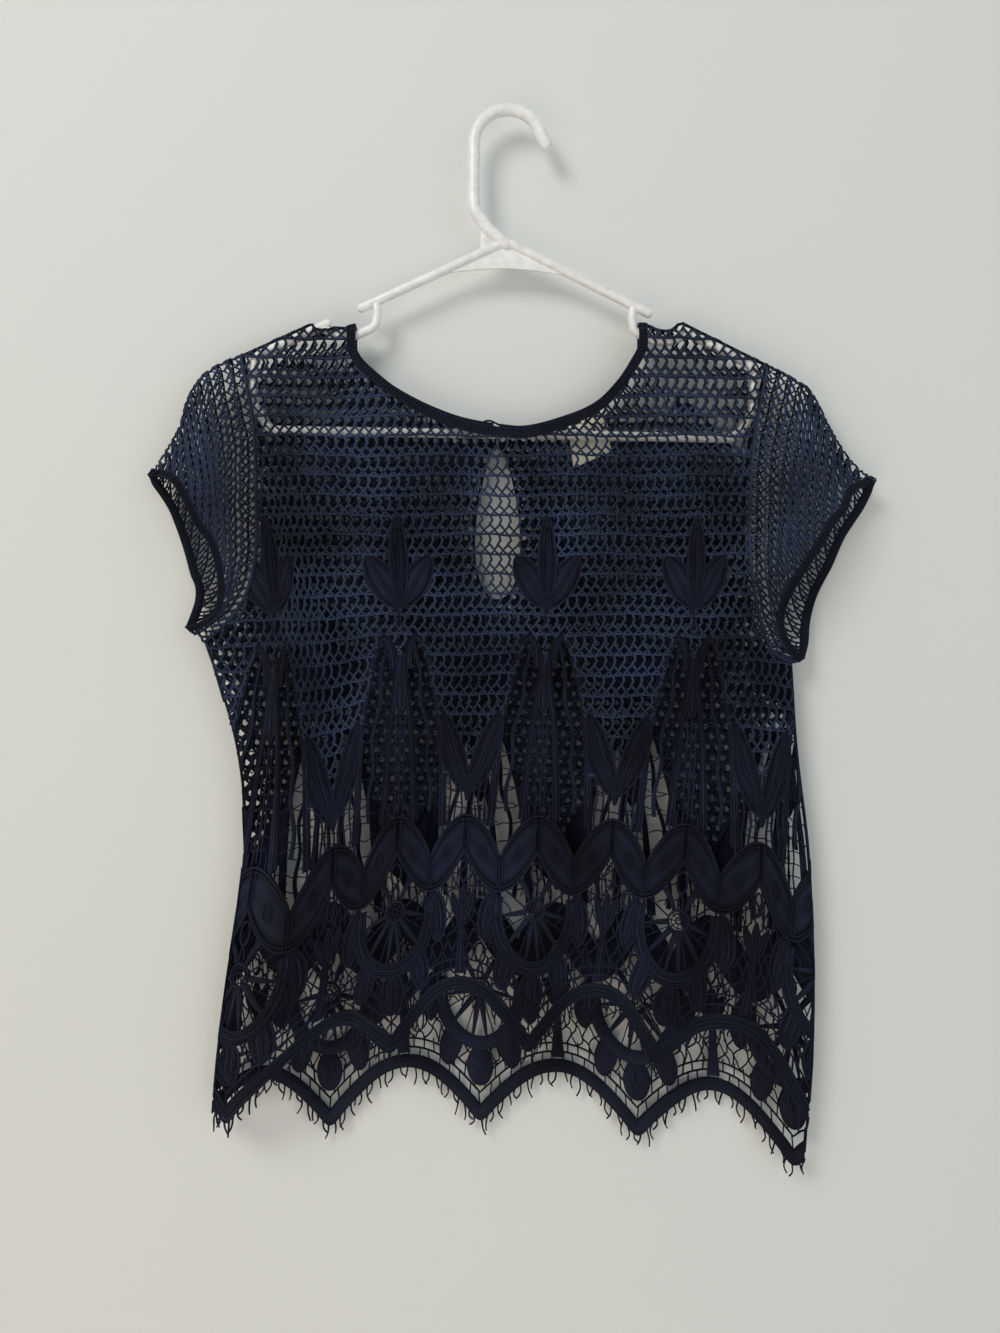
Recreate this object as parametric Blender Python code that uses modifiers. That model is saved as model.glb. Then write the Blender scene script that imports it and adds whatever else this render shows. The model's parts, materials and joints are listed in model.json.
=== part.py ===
"""A black lace top with cap sleeves, hanging on a white tubular hanger.

Frame: +Z up, +X to the right of the top's front, the front faces -Y. The origin is the
point inside the hanger's hook that rests on a nail. Tables and sizes are in millimetres.

Each cloth panel is drawn flat, in a place along the hem (s) and a height above the
lowest point of its hem (h). A drape then carries every flat point to where it hangs.
"""

import math

import bmesh
import bpy
from mathutils import Vector
from mathutils.geometry import delaunay_2d_cdt

MM = 0.001
SEAM = 0.4                     # gap between two pieces that are sewn together

# ---- Cloth -------------------------------------------------------------------------
CLOTH = 1.6                    # wall of the lace ground
RELIEF = 1.0                   # how far leaves, rings and cords stand above the ground
BAND = 2.3                     # wall of the ribbed neck, cuff and hem bands
NECK_BAND_WIDE = 7.5
CUFF_WIDE = 7.0
HEM_BAND_WIDE = 9.5
REPEAT = 122.0                 # width of one pattern repeat, from scallop to scallop
SCALLOP = 44.0                 # height of the hem's arches above its lowest points
POINTED = 0.06                 # smaller makes the scallops' tips more pointed
KNOB = (13.0, 4.0)             # half width and depth of the round knob at each tip
HEM_STEP = 9.0                 # between points along the seam of the hem band

# ---- Hanger ------------------------------------------------------------------------
NAIL_Z = 6.8                   # height of the hook's centre line above the nail
HOOK_WIRE = 10.0
ARM_WIRE = 7.5
BAR_WIRE = 7.0
HANGER_TILT = math.radians(1.0)        # the right arm hangs lower
ARM_SLOPE = math.radians(25.55)
APEX = (-0.8, -99.2)                   # x and z where the two arms meet
INNER_ARM = 127.0                      # along the arm, from the apex to the inner stub
OUTER_ARM = 157.0                      # from the apex to where the outer arm starts
ARM_END = 222.0
STRAP_DIP = 18.0                       # how far the strap notch hangs under the arms
BAR_DROP = 153.5                       # from the apex down to the bottom bar
ROLL = ARM_WIRE / 2 + 0.5              # inside radius of the cloth over the arms
ROLL_RISE = ROLL / math.cos(ARM_SLOPE) + 0.2   # its upright radius, on the sloping arms

# ---- Side and hem lines of the two panels ------------------------------------------
FRONT_LOW = -737.0             # world height of the front hem's lowest points
BACK_LOW = -811.0
ARMPIT = 315.0                 # height h of the front panel's armpits
FADE = 380.0                   # above this height the hem's droop is gone

# where a flat place s hangs: (s, x at h 480, x at h 300, x at h 160, x at the hem, droop)
FRONT_LINES = (
    (-275, -268, -250, -258, -276, 68),
    (-214, -214, -182, -202, -221, 61),
    (-183, -184, -161, -166, -190, 50),
    (-153, -154, -141, -138, -160, 36),
    (-122, -122, -112, -112, -124, 15),
    (-92, -92, -84, -86, -91, 1),
    (-31, -31, -27, -33, -38, -2),
    (30, 30, 30, 24, 16, 0),
    (91, 91, 89, 82, 62, 4),
    (152, 152, 147, 139, 115, 9),
    (213, 213, 200, 197, 171, 30),
    (282, 282, 264, 262, 246, 66),
)
BACK_LINES = (
    (-290, -290, -282, -275, -268, 16),
    (-205, -205, -203, -202, -204, 6),
    (-144, -144, -144, -144, -144, 0),
    (-22, -22, -22, -22, -22, -4),
    (100, 100, 101, 103, 106, 8),
    (222, 222, 225, 228, 230, 28),
    (300, 300, 300, 300, 296, 44),
)
LEVELS = (480, 300, 160, 0)    # the heights of the four x columns
# folds: place at the top, place at the hem, half width, depth at the hem, depth at
# h 300, and the height where the fold has died out
FRONT_FOLDS = (
    (-198, -190, 46, 22, 13, 470),
    (-138, -128, 28, -6, -4, 440),
    (-92, -92, 34, 8, 0, 230),
    (30, 30, 34, 8, 0, 240),
    (118, 120, 34, -4, 0, 260),
    (152, 150, 34, 9, 0, 240),
    (203, 208, 34, 8, 6, 430),
)
BACK_FOLDS = (
    (-174, -174, 40, 4, 0, 240),
    (-60, -50, 44, 5, 2, 330),
    (60, 66, 40, 4, 0, 260),
    (160, 168, 40, 5, 2, 320),
)
# the side edges in flat places, up to the armpits: (h, s)
LEFT_SIDE = ((0, -229), (184, -227), (250, -240))
RIGHT_SIDE = ((0, 277), (184, 259), (250, 248))
# the armholes, in world x and z, from the hanger's arm to the armpit
LEFT_ARMHOLE = ((-209.6, -204), (-204, -225), (-199, -255), (-197, -300), (-196.5, -340),
                (-201, -370), (-213, -395), (-227, -409), (-241, -419.5))
RIGHT_ARMHOLE = ((205.5, -211), (199, -235), (194, -265), (191, -305), (190.5, -345),
                 (193.5, -378), (199, -405), (206, -422), (215, -432.5), (227, -435))
# neck edge in world x and z; the back edge lies a little higher
NECK = ((-120.5, -184), (-115, -194), (-102, -206.5), (-86, -219), (-62, -233),
        (-35, -244), (-5, -249.5), (15, -250.5), (42, -243), (70, -229.5),
        (88, -211), (99, -194), (105, -183))
BACK_NECK_LIFT = 7.0
# the line on which the cloth is rolled over the hanger, beside the straps' notches
LEFT_ROLL = ((-157, -170.5), (-137, -173), (-129, -173.3), (-121, -171.5), (-112, -171.5))
RIGHT_ROLL = ((100, -171), (111, -171), (121, -175), (131, -175), (136.5, -171),
              (139, -169), (142, -170.5))
STUB_NOTCH = (-157.5, -136.5)  # the left arm's stub pokes out between front and back
KEYHOLE = (-7.5, -385.0, 125.0, 19.5)  # centre x, lowest z, height and half width
KEYHOLE_SLIT = 1.4

# ---- The lace pattern: one repeat, measured from its centre line --------------------
SLIT = ((310, 9, 16), (285, 9, 24), (250, 13, 32.5), (215, 17, 35), (184, 20, 36))
SLIT_ROWS = ((307, 252), (247, 190))
SLIT_STEM = 2.4
V_LEAF = ((0, 197), (12, 207), (21, 219), (25, 238), (26.5, 258), (13, 251), (3, 238))
V_RIB = ((10, 219), (18, 241))
TULIP_SIDE = ((3, 348), (15, 354), (26, 368), (30, 384), (20, 386), (8, 370))
TULIP_SIDE_RIB = ((12, 362), (22, 376))
TULIP_MID = ((0, 354), (6.5, 375), (6, 395), (0, 409), (-6, 395), (-6.5, 375))
TULIP_MID_RIB = ((0, 372), (0, 392))
ZIGZAG_TOP = (149, 184)        # heights of its top edge, at a valley and at a peak
ZIGZAG_LOW = (121, 152)
WHEEL_H = 108.0
WHEEL_IN = (26.5, 39.5)        # half width and depth of the opening in the ring
RING_WIDE = 11.0
HUB = 9.0
SPOKES = 5
SPOKE_WIDE = 3.2
PETALS = ((0, 43, 10, 13.5), (24, 62, 8, 15), (-24, 62, 8, 15))    # s, h, half sizes
EARS = ((39, 100, 7, 17), (-39, 100, 7, 17))
# openings beside the slits: corners on one side of the repeat's centre line
OPENINGS = (
    ((2.2, 200), (6.6, 204), (6.0, 256), (2.2, 266)),
    ((40.5, 172), (47.5, 167), (48.5, 207), (41.5, 211)),
    ((51, 177), (57, 183), (57, 201), (51, 206)),
    ((1.8, 119), (8.5, 121), (7, 137), (1.8, 146)),
    ((11, 120), (19.5, 117), (18, 124), (10.5, 133)),
    ((1.8, 18), (7.5, 24.5), (6.5, 28.5), (1.8, 28)),
    ((13, 31.5), (20, 38), (19, 46), (13.5, 44)),
    ((34, 50), (41, 54), (41, 64), (36, 62)),
    ((46, 58.5), (54, 60.5), (54, 70), (47, 68)),
    ((47, 101), (54.5, 98), (55.5, 120), (48, 117)),
    ((49.5, 78), (56, 76), (56, 92), (49.5, 92)),
)
STEM_OPENING = ((-3, 130), (0, 125), (3, 130), (0, 146))   # under each zigzag peak
FRONT_REPEATS = (-214, -92, 30, 152, 274)
BACK_REPEATS = (-266, -144, -22, 100, 222)
FRINGE_STEP = 9.0
FRINGE_LONG = 11.0
FRINGE_WIDE = 1.7

# ---- Sleeves: outlines in world x and z, from the shoulder or the armpit outwards ----
LEFT_SLEEVE_TOP = ((-209.6, -190.4), (-222.4, -194.8), (-240.6, -204.8), (-251, -218),
                   (-256.3, -229.5), (-261, -247), (-272.5, -267), (-281.5, -281),
                   (-287, -286))
LEFT_CUFF_FRONT = ((-287, -286), (-271, -289.5), (-264, -294), (-253, -310),
                   (-242, -330.5), (-232, -343.5), (-227.5, -359), (-226, -372),
                   (-227, -386), (-233, -398), (-246, -403.5), (-257, -406))
LEFT_CUFF_BACK = ((-287, -286), (-283, -297), (-276.5, -306.5), (-270, -323),
                  (-262.5, -346), (-257.5, -363), (-252, -377), (-253, -390), (-257, -406))
LEFT_SLEEVE_LOW = ((-241, -419.5), (-249, -413), (-257, -406))
RIGHT_SLEEVE_TOP = ((205.5, -198), (220.5, -205), (234.5, -213), (240.3, -217),
                    (247.7, -228.7), (256.3, -246), (267.9, -265.6), (277.6, -278),
                    (291, -288.5), (295, -291))
RIGHT_CUFF_FRONT = ((295, -291), (286, -295), (272.5, -302.3), (265.6, -317.5),
                    (255.4, -327.8), (247, -343), (238.5, -355), (228, -372),
                    (219.6, -387.5), (216.8, -402.7), (222, -418), (238, -431))
RIGHT_CUFF_BACK = ((295, -291), (289, -310), (275.2, -333), (264.7, -357.5),
                   (252.4, -380.4), (245.5, -401.5), (242.8, -418), (238, -431))
RIGHT_SLEEVE_LOW = ((227, -435), (232.5, -434), (238, -431))
CUFF_FRONT_BULGE = 20.0
CUFF_BACK_BULGE = 13.0
CUFF_FOLD = 2.6                # radius of the fold at the cuff's outer tip
FOLD_TURNS = (90, 60, 30, 0)   # degrees round the fold over the arm
FOLD_SHARES = (0, 0.012, 0.03, 0.055)   # how far round the cuff those rows run
ROWS = 14                      # rows from the fold to the underarm

BLACK = (0.011, 0.012, 0.019)
DARK = (0.008, 0.009, 0.014)
WHITE = (0.83, 0.83, 0.82)
CREAM = (0.78, 0.76, 0.68)


# ---- Small helpers -------------------------------------------------------------------
def lookup(x, table, column=1):
    """A smooth curve through a table's rows, straight on past its ends."""
    rows = [(row[0], row[column]) for row in table]
    if rows[0][0] > rows[-1][0]:
        rows.reverse()
    last = len(rows) - 2
    i = next((k for k in range(last + 1) if x < rows[k + 1][0]), last)
    (x0, y0), (x1, y1) = rows[i], rows[i + 1]
    slope = (y1 - y0) / (x1 - x0)
    if x <= rows[0][0] or x >= rows[-1][0]:
        return y0 + slope * (x - x0)
    before = slope if i == 0 else (y1 - rows[i - 1][1]) / (x1 - rows[i - 1][0])
    after = slope if i == last else (rows[i + 2][1] - y0) / (rows[i + 2][0] - x0)
    t = (x - x0) / (x1 - x0)
    run = x1 - x0
    return ((2 * t**3 - 3 * t**2 + 1) * y0 + (t**3 - 2 * t**2 + t) * run * before
            + (3 * t**2 - 2 * t**3) * y1 + (t**3 - t**2) * run * after)


def ease(t):
    t = min(1.0, max(0.0, t))
    return t * t * (3 - 2 * t)


def along(points, t):
    """The point at share t of the smooth curve through the points."""
    reach = [0.0]
    for a, b in zip(points, points[1:]):
        reach.append(reach[-1] + math.dist(a, b))
    place = t * reach[-1]
    return tuple(lookup(place, [(r, p[k]) for r, p in zip(reach, points)])
                 for k in range(len(points[0])))


def spaced(points, step):
    """The curve through the points, cut into equal steps of about this length."""
    total = sum(math.dist(a, b) for a, b in zip(points, points[1:]))
    count = max(1, round(total / step))
    return [along(points, i / count) for i in range(count + 1)]


def offset_line(points, by):
    """The line moved sideways, to the right of its direction."""
    moved = []
    for i, point in enumerate(points):
        a, b = points[max(0, i - 1)], points[min(len(points) - 1, i + 1)]
        dx, dy = b[0] - a[0], b[1] - a[1]
        size = math.hypot(dx, dy)
        moved.append((point[0] + by * dy / size, point[1] - by * dx / size))
    return moved


def inside(point, polygon):
    x, y = point
    crossed = False
    for (x0, y0), (x1, y1) in zip(polygon, polygon[1:] + polygon[:1]):
        if (y0 > y) != (y1 > y) and x < x0 + (y - y0) / (y1 - y0) * (x1 - x0):
            crossed = not crossed
    return crossed


# ---- The drape -------------------------------------------------------------------------
def arm_height(x):
    """World height of the hanger arm's centre line above or below the apex."""
    side = -1 if x < APEX[0] else 1
    return APEX[1] - abs(x - APEX[0]) * math.tan(ARM_SLOPE + side * HANGER_TILT)


def roll_height(x):
    """World height of the line that the shoulders are rolled over."""
    if LEFT_ROLL[0][0] < x < LEFT_ROLL[-1][0]:
        return lookup(x, LEFT_ROLL)
    if RIGHT_ROLL[0][0] < x < RIGHT_ROLL[-1][0]:
        return lookup(x, RIGHT_ROLL)
    return arm_height(x) if abs(x) > 120 else max(LEFT_ROLL[-1][1], arm_height(x) - 60)


def across_levels(h, values):
    """The curve through the values that a line of cloth has at the four LEVELS."""
    if h >= LEVELS[0]:
        return values[0]
    total = 0.0
    for i, level in enumerate(LEVELS):
        share = 1.0
        for j, other in enumerate(LEVELS):
            if j != i:
                share *= (h - other) / (level - other)
        total += share * values[i]
    return total


def fold_depth(s, h, folds):
    depth = 0.0
    for s_top, s_hem, half, at_hem, at_mid, end in folds:
        if h >= end:
            continue
        place = s_hem + (s_top - s_hem) * h / end
        reach = abs(s - place) / half
        if reach >= 1:
            continue
        size = at_hem + (at_mid - at_hem) * h / 300 if h < 300 else \
            at_mid * ease((end - h) / (end - 300))
        if h < 300 and at_mid == 0:
            size = at_hem * ease((end - h) / end)
        depth += size * math.cos(math.pi / 2 * reach) ** 2
    return depth


def side_share(s, h, sides, reach):
    """0 at the panel's side edge, rising to 1 further in. Above the armpits the edge is
    taken to run on outwards."""
    above = [max(0, h - side[-1][0]) for side in sides]
    left = lookup(min(h, sides[0][-1][0]), sides[0]) - above[0] * 0.6
    right = lookup(min(h, sides[1][-1][0]), sides[1]) + above[1] * 0.6
    inward = min(s - left, right - s) / reach
    return 1 - (1 - min(1.0, max(0.0, inward))) ** 2


def droop(h):
    return max(0.0, 1 - (h / FADE) ** 2) ** 1.5 if h < FADE else 0.0


def drape(s, h, low, lines, folds, sides, depths):
    """Where the inner face of the cloth hangs: world x, distance out of the garment's
    middle plane, and world z."""
    x = across_levels(h, [lookup(s, lines, column) for column in (1, 2, 3, 4)])
    roll = roll_height(x) - low
    if h > roll:
        turn = min((h - roll) / ROLL, math.radians(88))
        return x, ROLL * math.cos(turn), low + roll + ROLL_RISE * math.sin(turn)
    z = low + h - lookup(s, lines, 5) * droop(h)
    under, near = depths
    out = ROLL + (near - ROLL) * ease((roll - h) / 110) + (under - near) * ease((400 - h) / 300)
    out += fold_depth(s, h, folds)
    out = SEAM / 2 + (out - SEAM / 2) * side_share(s, h, sides, 62)
    return x, out, z


FRONT_DEPTHS = (14.0, 10.0)
BACK_DEPTHS = (11.0, 8.0)


def flat_place(x, z, low, lines):
    """The flat place (s, h) that hangs at world x and z."""
    h = z - low
    for _ in range(12):
        left, right = lines[0][0] - 40, lines[-1][0] + 40
        for _ in range(30):
            s = (left + right) / 2
            if across_levels(h, [lookup(s, lines, c) for c in (1, 2, 3, 4)]) < x:
                left = s
            else:
                right = s
        h = z - low + lookup(s, lines, 5) * droop(h)
    return s, h


def side_tables():
    """The side edges of both panels: the back's hang exactly behind the front's."""
    found = []
    for rows, armhole in ((LEFT_SIDE, LEFT_ARMHOLE), (RIGHT_SIDE, RIGHT_ARMHOLE)):
        s, h = flat_place(*armhole[-1], FRONT_LOW, FRONT_LINES)
        edge = [*rows, (h, s)]
        behind = []
        for high in (0, 60, 120, 184, 250, h):
            place = lookup(high, edge)
            x = across_levels(high, [lookup(place, FRONT_LINES, c) for c in (1, 2, 3, 4)])
            z = FRONT_LOW + high - lookup(place, FRONT_LINES, 5) * droop(high)
            there = flat_place(x, z, BACK_LOW, BACK_LINES)
            behind.append((there[1], there[0]))
        found.append((edge, behind))
    return (found[0][0], found[1][0]), (found[0][1], found[1][1])


FRONT_SIDES, BACK_SIDES = side_tables()


def front(s, h):
    x, out, z = drape(s, h, FRONT_LOW, FRONT_LINES, FRONT_FOLDS, FRONT_SIDES, FRONT_DEPTHS)
    return Vector((x, -out, z)) * MM


def back(s, h):
    x, out, z = drape(s, h, BACK_LOW, BACK_LINES, BACK_FOLDS, BACK_SIDES, BACK_DEPTHS)
    return Vector((x, out, z)) * MM


def outward(place, s, h):
    """The direction square to the cloth, away from the garment's inside."""
    across = place(s + 0.5, h) - place(s - 0.5, h)
    up = place(s, h + 0.4) - place(s, h - 0.4)
    return across.cross(up).normalized() * (1 if place is front else -1)


# ---- Flat outlines -----------------------------------------------------------------------
def scallop(s, centre):
    """Height of the hem's lower edge: pointed scallops that end in a round knob."""
    aside = abs((s - centre + REPEAT / 2) % REPEAT - REPEAT / 2)
    wave = math.sqrt(math.sin(math.pi * aside / REPEAT) ** 2 + POINTED)
    rise = (wave - math.sqrt(POINTED)) / (math.sqrt(1 + POINTED) - math.sqrt(POINTED))
    return (SCALLOP - KNOB[1]) * rise + KNOB[1] * ease(aside / KNOB[0])


def raised_edge(s, centre, above):
    """Height of the curve that keeps this distance from the hem's lower edge."""
    turns = [math.pi * i / 24 for i in range(25)]
    return max(scallop(s + above * math.cos(turn), centre) + above * math.sin(turn)
               for turn in turns)


def hem_line(sides, centre, above, step):
    """The hem from the left side edge to the right one, raised squarely by this much."""
    left, right = lookup(0, sides[0]), lookup(0, sides[1])
    even = REPEAT / round(REPEAT / step)
    first, last = math.ceil((left - centre) / even), math.floor((right - centre) / even)
    line = [left] + [centre + even * i for i in range(first, last + 1)] + [right]
    line = [(s, raised_edge(s, centre, above)) for s in line]
    between = [(s, h) for s, h in line[1:-1]
               if lookup(h, sides[0]) + 3 < s < lookup(h, sides[1]) - 3]
    first, last = line[0][1], line[-1][1]
    return [(lookup(first, sides[0]), first), *between, (lookup(last, sides[1]), last)]


def neck_line(low, lift, inset):
    """The neck edge from its left top to its right top, in flat places."""
    middle, half = (NECK[0][0] + NECK[-1][0]) / 2, (NECK[-1][0] - NECK[0][0]) / 2
    raised = [(x, z + lift * (1 - ((x - middle) / half) ** 2) - low) for x, z in NECK]
    line = spaced(raised, 11)
    return offset_line(line, inset) if inset else line


def over_roll(x, low):
    """Flat heights at a place x on the bend over the hanger, from its foot to its top."""
    return [roll_height(x) - low + ROLL * math.radians(turn) for turn in (0, 30, 60, 88)]


def shoulder_ends(neck):
    """The x places where the cloth over the arms starts and stops."""
    return (neck[0][0], STUB_NOTCH[1], STUB_NOTCH[0], LEFT_ARMHOLE[0][0], neck[-1][0],
            RIGHT_ARMHOLE[0][0])


def even_steps(x_from, x_to, step=13):
    count = max(1, round(abs(x_to - x_from) / step))
    return [x_from + (x_to - x_from) * i / count for i in range(count + 1)]


def shoulder_line(x_from, x_to, low):
    return [(x, over_roll(x, low)[3]) for x in even_steps(x_from, x_to)]


def armhole_line(side, low, lines):
    """The armhole's edge in flat places, from the top of the bend to the armpit."""
    edge = LEFT_ARMHOLE if side < 0 else RIGHT_ARMHOLE
    top = [(edge[0][0], h) for h in reversed(over_roll(edge[0][0], low))]
    count = ROWS - len(FOLD_TURNS) + 1
    return top + [flat_place(*along(edge, i / count), low, lines)
                  for i in range(1, count + 1)]


def side_points(low, high, side):
    count = round((high - low) / 34)
    heights = [low + (high - low) * i / count for i in range(1, count)]
    return [(lookup(h, side), h) for h in heights]


def cut_keyhole(neck, low):
    """The neck edge, right to left, with the drop-shaped opening and its slit let in."""
    centre_x, bottom, tall, half = KEYHOLE
    right = [p for p in neck if p[0] > centre_x + 4]
    left = [p for p in neck if p[0] < centre_x - 4]
    edge = lookup(centre_x, neck)
    drop = []
    for i in range(1, 20):
        turn = 2 * math.pi * i / 20
        up = (1 + math.cos(turn)) / 2
        wide = half * math.sin(turn) * (1.25 - 0.62 * up)
        drop.append((centre_x + wide, bottom - low + tall * up))
    drop = [p for p in drop if abs(p[0] - centre_x) > KEYHOLE_SLIT / 2 or p[1] < edge - 60]
    half_slit = KEYHOLE_SLIT / 2
    return (right + [(centre_x + half_slit, edge), (centre_x + half_slit, drop[0][1] + 6)]
            + drop + [(centre_x - half_slit, drop[-1][1] + 6), (centre_x - half_slit, edge)]
            + left)


def panel_outline(low, lift, lines, sides, centre, keyhole=False):
    """The flat cut of a body panel, anticlockwise from the hem's left corner."""
    hem = hem_line(sides, centre, HEM_BAND_WIDE + SEAM, HEM_STEP)
    left_arm = armhole_line(-1, low, lines)
    right_arm = armhole_line(1, low, lines)[::-1]
    right_side = side_points(hem[-1][1], right_arm[0][1], sides[1])
    left_side = side_points(hem[0][1], left_arm[-1][1], sides[0])
    neck = neck_line(low, lift, NECK_BAND_WIDE + SEAM)
    bends = [[(x, h) for h in over_roll(x, low)] for x in shoulder_ends(neck)]
    neck_left, notch_right, notch_left, arm_left, neck_right, arm_right = bends
    under_stub = roll_height(STUB_NOTCH[0]) - low - 5
    right_shoulder = shoulder_line(arm_right[0][0], neck_right[0][0], low)[1:-1]
    left_shoulder = (shoulder_line(neck_left[0][0], notch_right[0][0], low)[1:-1]
                     + notch_right[::-1] + [(notch_right[0][0], under_stub),
                                            (notch_left[0][0], under_stub)] + notch_left
                     + shoulder_line(notch_left[0][0], arm_left[0][0], low)[1:-1])
    middle = neck[::-1]
    if keyhole:
        middle = cut_keyhole(middle, low)
    return (hem + right_side + right_arm + right_shoulder + neck_right[::-1] + middle
            + neck_left + left_shoulder + left_arm + left_side[::-1])


# ---- Openings and relief of the lace ---------------------------------------------------
def mirrored(points, centre, side):
    return [(centre + side * s, h) for s, h in points]


def slit_cells(centre, side):
    """The two columns of openings beside the wavy thread of an arch."""
    cells = []
    for high, low in SLIT_ROWS:
        inner_top, outer_top = lookup(high, SLIT, 1), lookup(high, SLIT, 2)
        inner_low, outer_low = lookup(low, SLIT, 1), lookup(low, SLIT, 2)
        stem_top, stem_low = (inner_top + outer_top) / 2, (inner_low + outer_low) / 2
        half = SLIT_STEM / 2
        for a, b, c, d in ((inner_top, stem_top - half, stem_low - half, inner_low),
                           (stem_top + half, outer_top, outer_low, stem_low + half)):
            cells.append(mirrored(((a, high), (b, high), (c, low), (d, low)), centre, side))
    return cells


def wheel_cells(centre):
    """The openings between the spokes, in the lower half of the wheel."""
    cells = []
    step = math.pi / (SPOKES + 1)
    for i in range(SPOKES + 1):
        from_turn, to_turn = math.pi + i * step, math.pi + (i + 1) * step
        corners = []
        for turn, sign in ((from_turn, 1), (to_turn, -1)):
            aside = sign * SPOKE_WIDE / 2
            along_spoke = (math.cos(turn), math.sin(turn))
            square = (-along_spoke[1] * aside, along_spoke[0] * aside)
            near = (centre + along_spoke[0] * HUB + square[0],
                    WHEEL_H + along_spoke[1] * HUB + square[1])
            far = (centre + along_spoke[0] * WHEEL_IN[0] + square[0] * 1.1,
                   WHEEL_H + along_spoke[1] * WHEEL_IN[1] + square[1] * 1.1)
            corners.append((near, far))
        cells.append([corners[0][0], corners[0][1], corners[1][1], corners[1][0]])
    return cells


def repeat_openings(centre):
    cells = wheel_cells(centre)
    for side in (-1, 1):
        cells += slit_cells(centre, side)
        cells += [mirrored(cell, centre, side) for cell in OPENINGS]
    cells.append(mirrored(STEM_OPENING, centre + REPEAT / 2, 1))
    return cells


def oval(centre, h, half_wide, half_tall, count=6):
    return [(centre + half_wide * math.cos(2 * math.pi * i / count),
             h + half_tall * math.sin(2 * math.pi * i / count)) for i in range(count)]


def repeat_relief(centre):
    """Outlines that stay at the ground's level, and the points raised inside them."""
    outlines, raised = [], []
    for side in (-1, 1):
        beside = centre + REPEAT / 2
        outlines.append(mirrored(V_LEAF, beside, side))
        raised += mirrored(V_RIB, beside, side)
        outlines.append(mirrored(TULIP_SIDE, centre, side))
        raised += mirrored(TULIP_SIDE_RIB, centre, side)
        valley, peak = side * REPEAT / 4, side * REPEAT / 2
        for s_from, s_to in ((0, valley), (peak, valley)):
            for share in (0.3, 0.7):
                s = s_from + (s_to - s_from) * share
                middle = [ZIGZAG_TOP[1] + (ZIGZAG_TOP[0] - ZIGZAG_TOP[1]) * share,
                          ZIGZAG_LOW[1] + (ZIGZAG_LOW[0] - ZIGZAG_LOW[1]) * share]
                raised.append((centre + s, sum(middle) / 2))
    outlines.append(mirrored(TULIP_MID, centre, 1))
    raised += mirrored(TULIP_MID_RIB, centre, 1)
    for ds, h, wide, tall in PETALS + EARS:
        outlines.append(oval(centre + ds, h, wide, tall))
        raised.append((centre + ds, h))
    for i in range(7):
        turn = math.pi * (1 + i / 6)
        raised.append((centre + (WHEEL_IN[0] + RING_WIDE / 2) * math.cos(turn),
                       WHEEL_H + (WHEEL_IN[1] + RING_WIDE / 2) * math.sin(turn)))
    return outlines, raised


# ---- Meshes from flat drawings -----------------------------------------------------------
def material(name, colour, roughness):
    made = bpy.data.materials.new(name)
    made.use_nodes = True
    shader = made.node_tree.nodes["Principled BSDF"]
    shader.inputs["Base Color"].default_value = (*colour, 1)
    shader.inputs["Roughness"].default_value = roughness
    return made


def add_object(name, mesh, finish, collection):
    obj = bpy.data.objects.new(name, mesh)
    mesh.materials.append(finish)
    collection.objects.link(obj)
    return obj


def triangulated(outline, holes=(), loops=(), raised=(), bend=(), free=(), clear=4.0):
    """Flat points and triangles of a drawing: an outline with holes cut through, loops
    that the triangles follow, raised points, rows of points on the bend over the hanger,
    and free points where there is room."""
    points, edges = [], []
    for ring in [outline, *holes, *loops]:
        start = len(points)
        points += [tuple(p) for p in ring]
        edges += [(start + i, start + (i + 1) % len(ring)) for i in range(len(ring))]
    fixed = len(points)
    points += [tuple(p) for p in raised if inside(p, outline)]
    high = {i for i in range(fixed, len(points))}
    for row in bend:
        start = len(points)
        points += row
        edges += [(start + i, start + i + 1) for i in range(len(row) - 1)]
    for p in free:
        if inside(p, outline) and all(math.dist(p, q) > clear for q in points):
            if not any(inside(p, hole) for hole in holes):
                points.append(tuple(p))
    flat, _, faces, found, _, _ = delaunay_2d_cdt(
        [Vector(p) for p in points], edges, [], 0, 0.01)
    kept = []
    for face in faces:
        middle = sum((flat[i] for i in face), Vector((0, 0))) / 3
        if inside(middle, outline) and not any(inside(middle, hole) for hole in holes):
            kept.append(tuple(face))
    lifted = {i for i, source in enumerate(found) if any(k in high for k in source)}
    return [tuple(p) for p in flat], kept, lifted


def ordered(point):
    """A rule for which corner comes first, the same on both sides of a seam."""
    return round(point.x, 3), round(point.z, 3)


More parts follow.
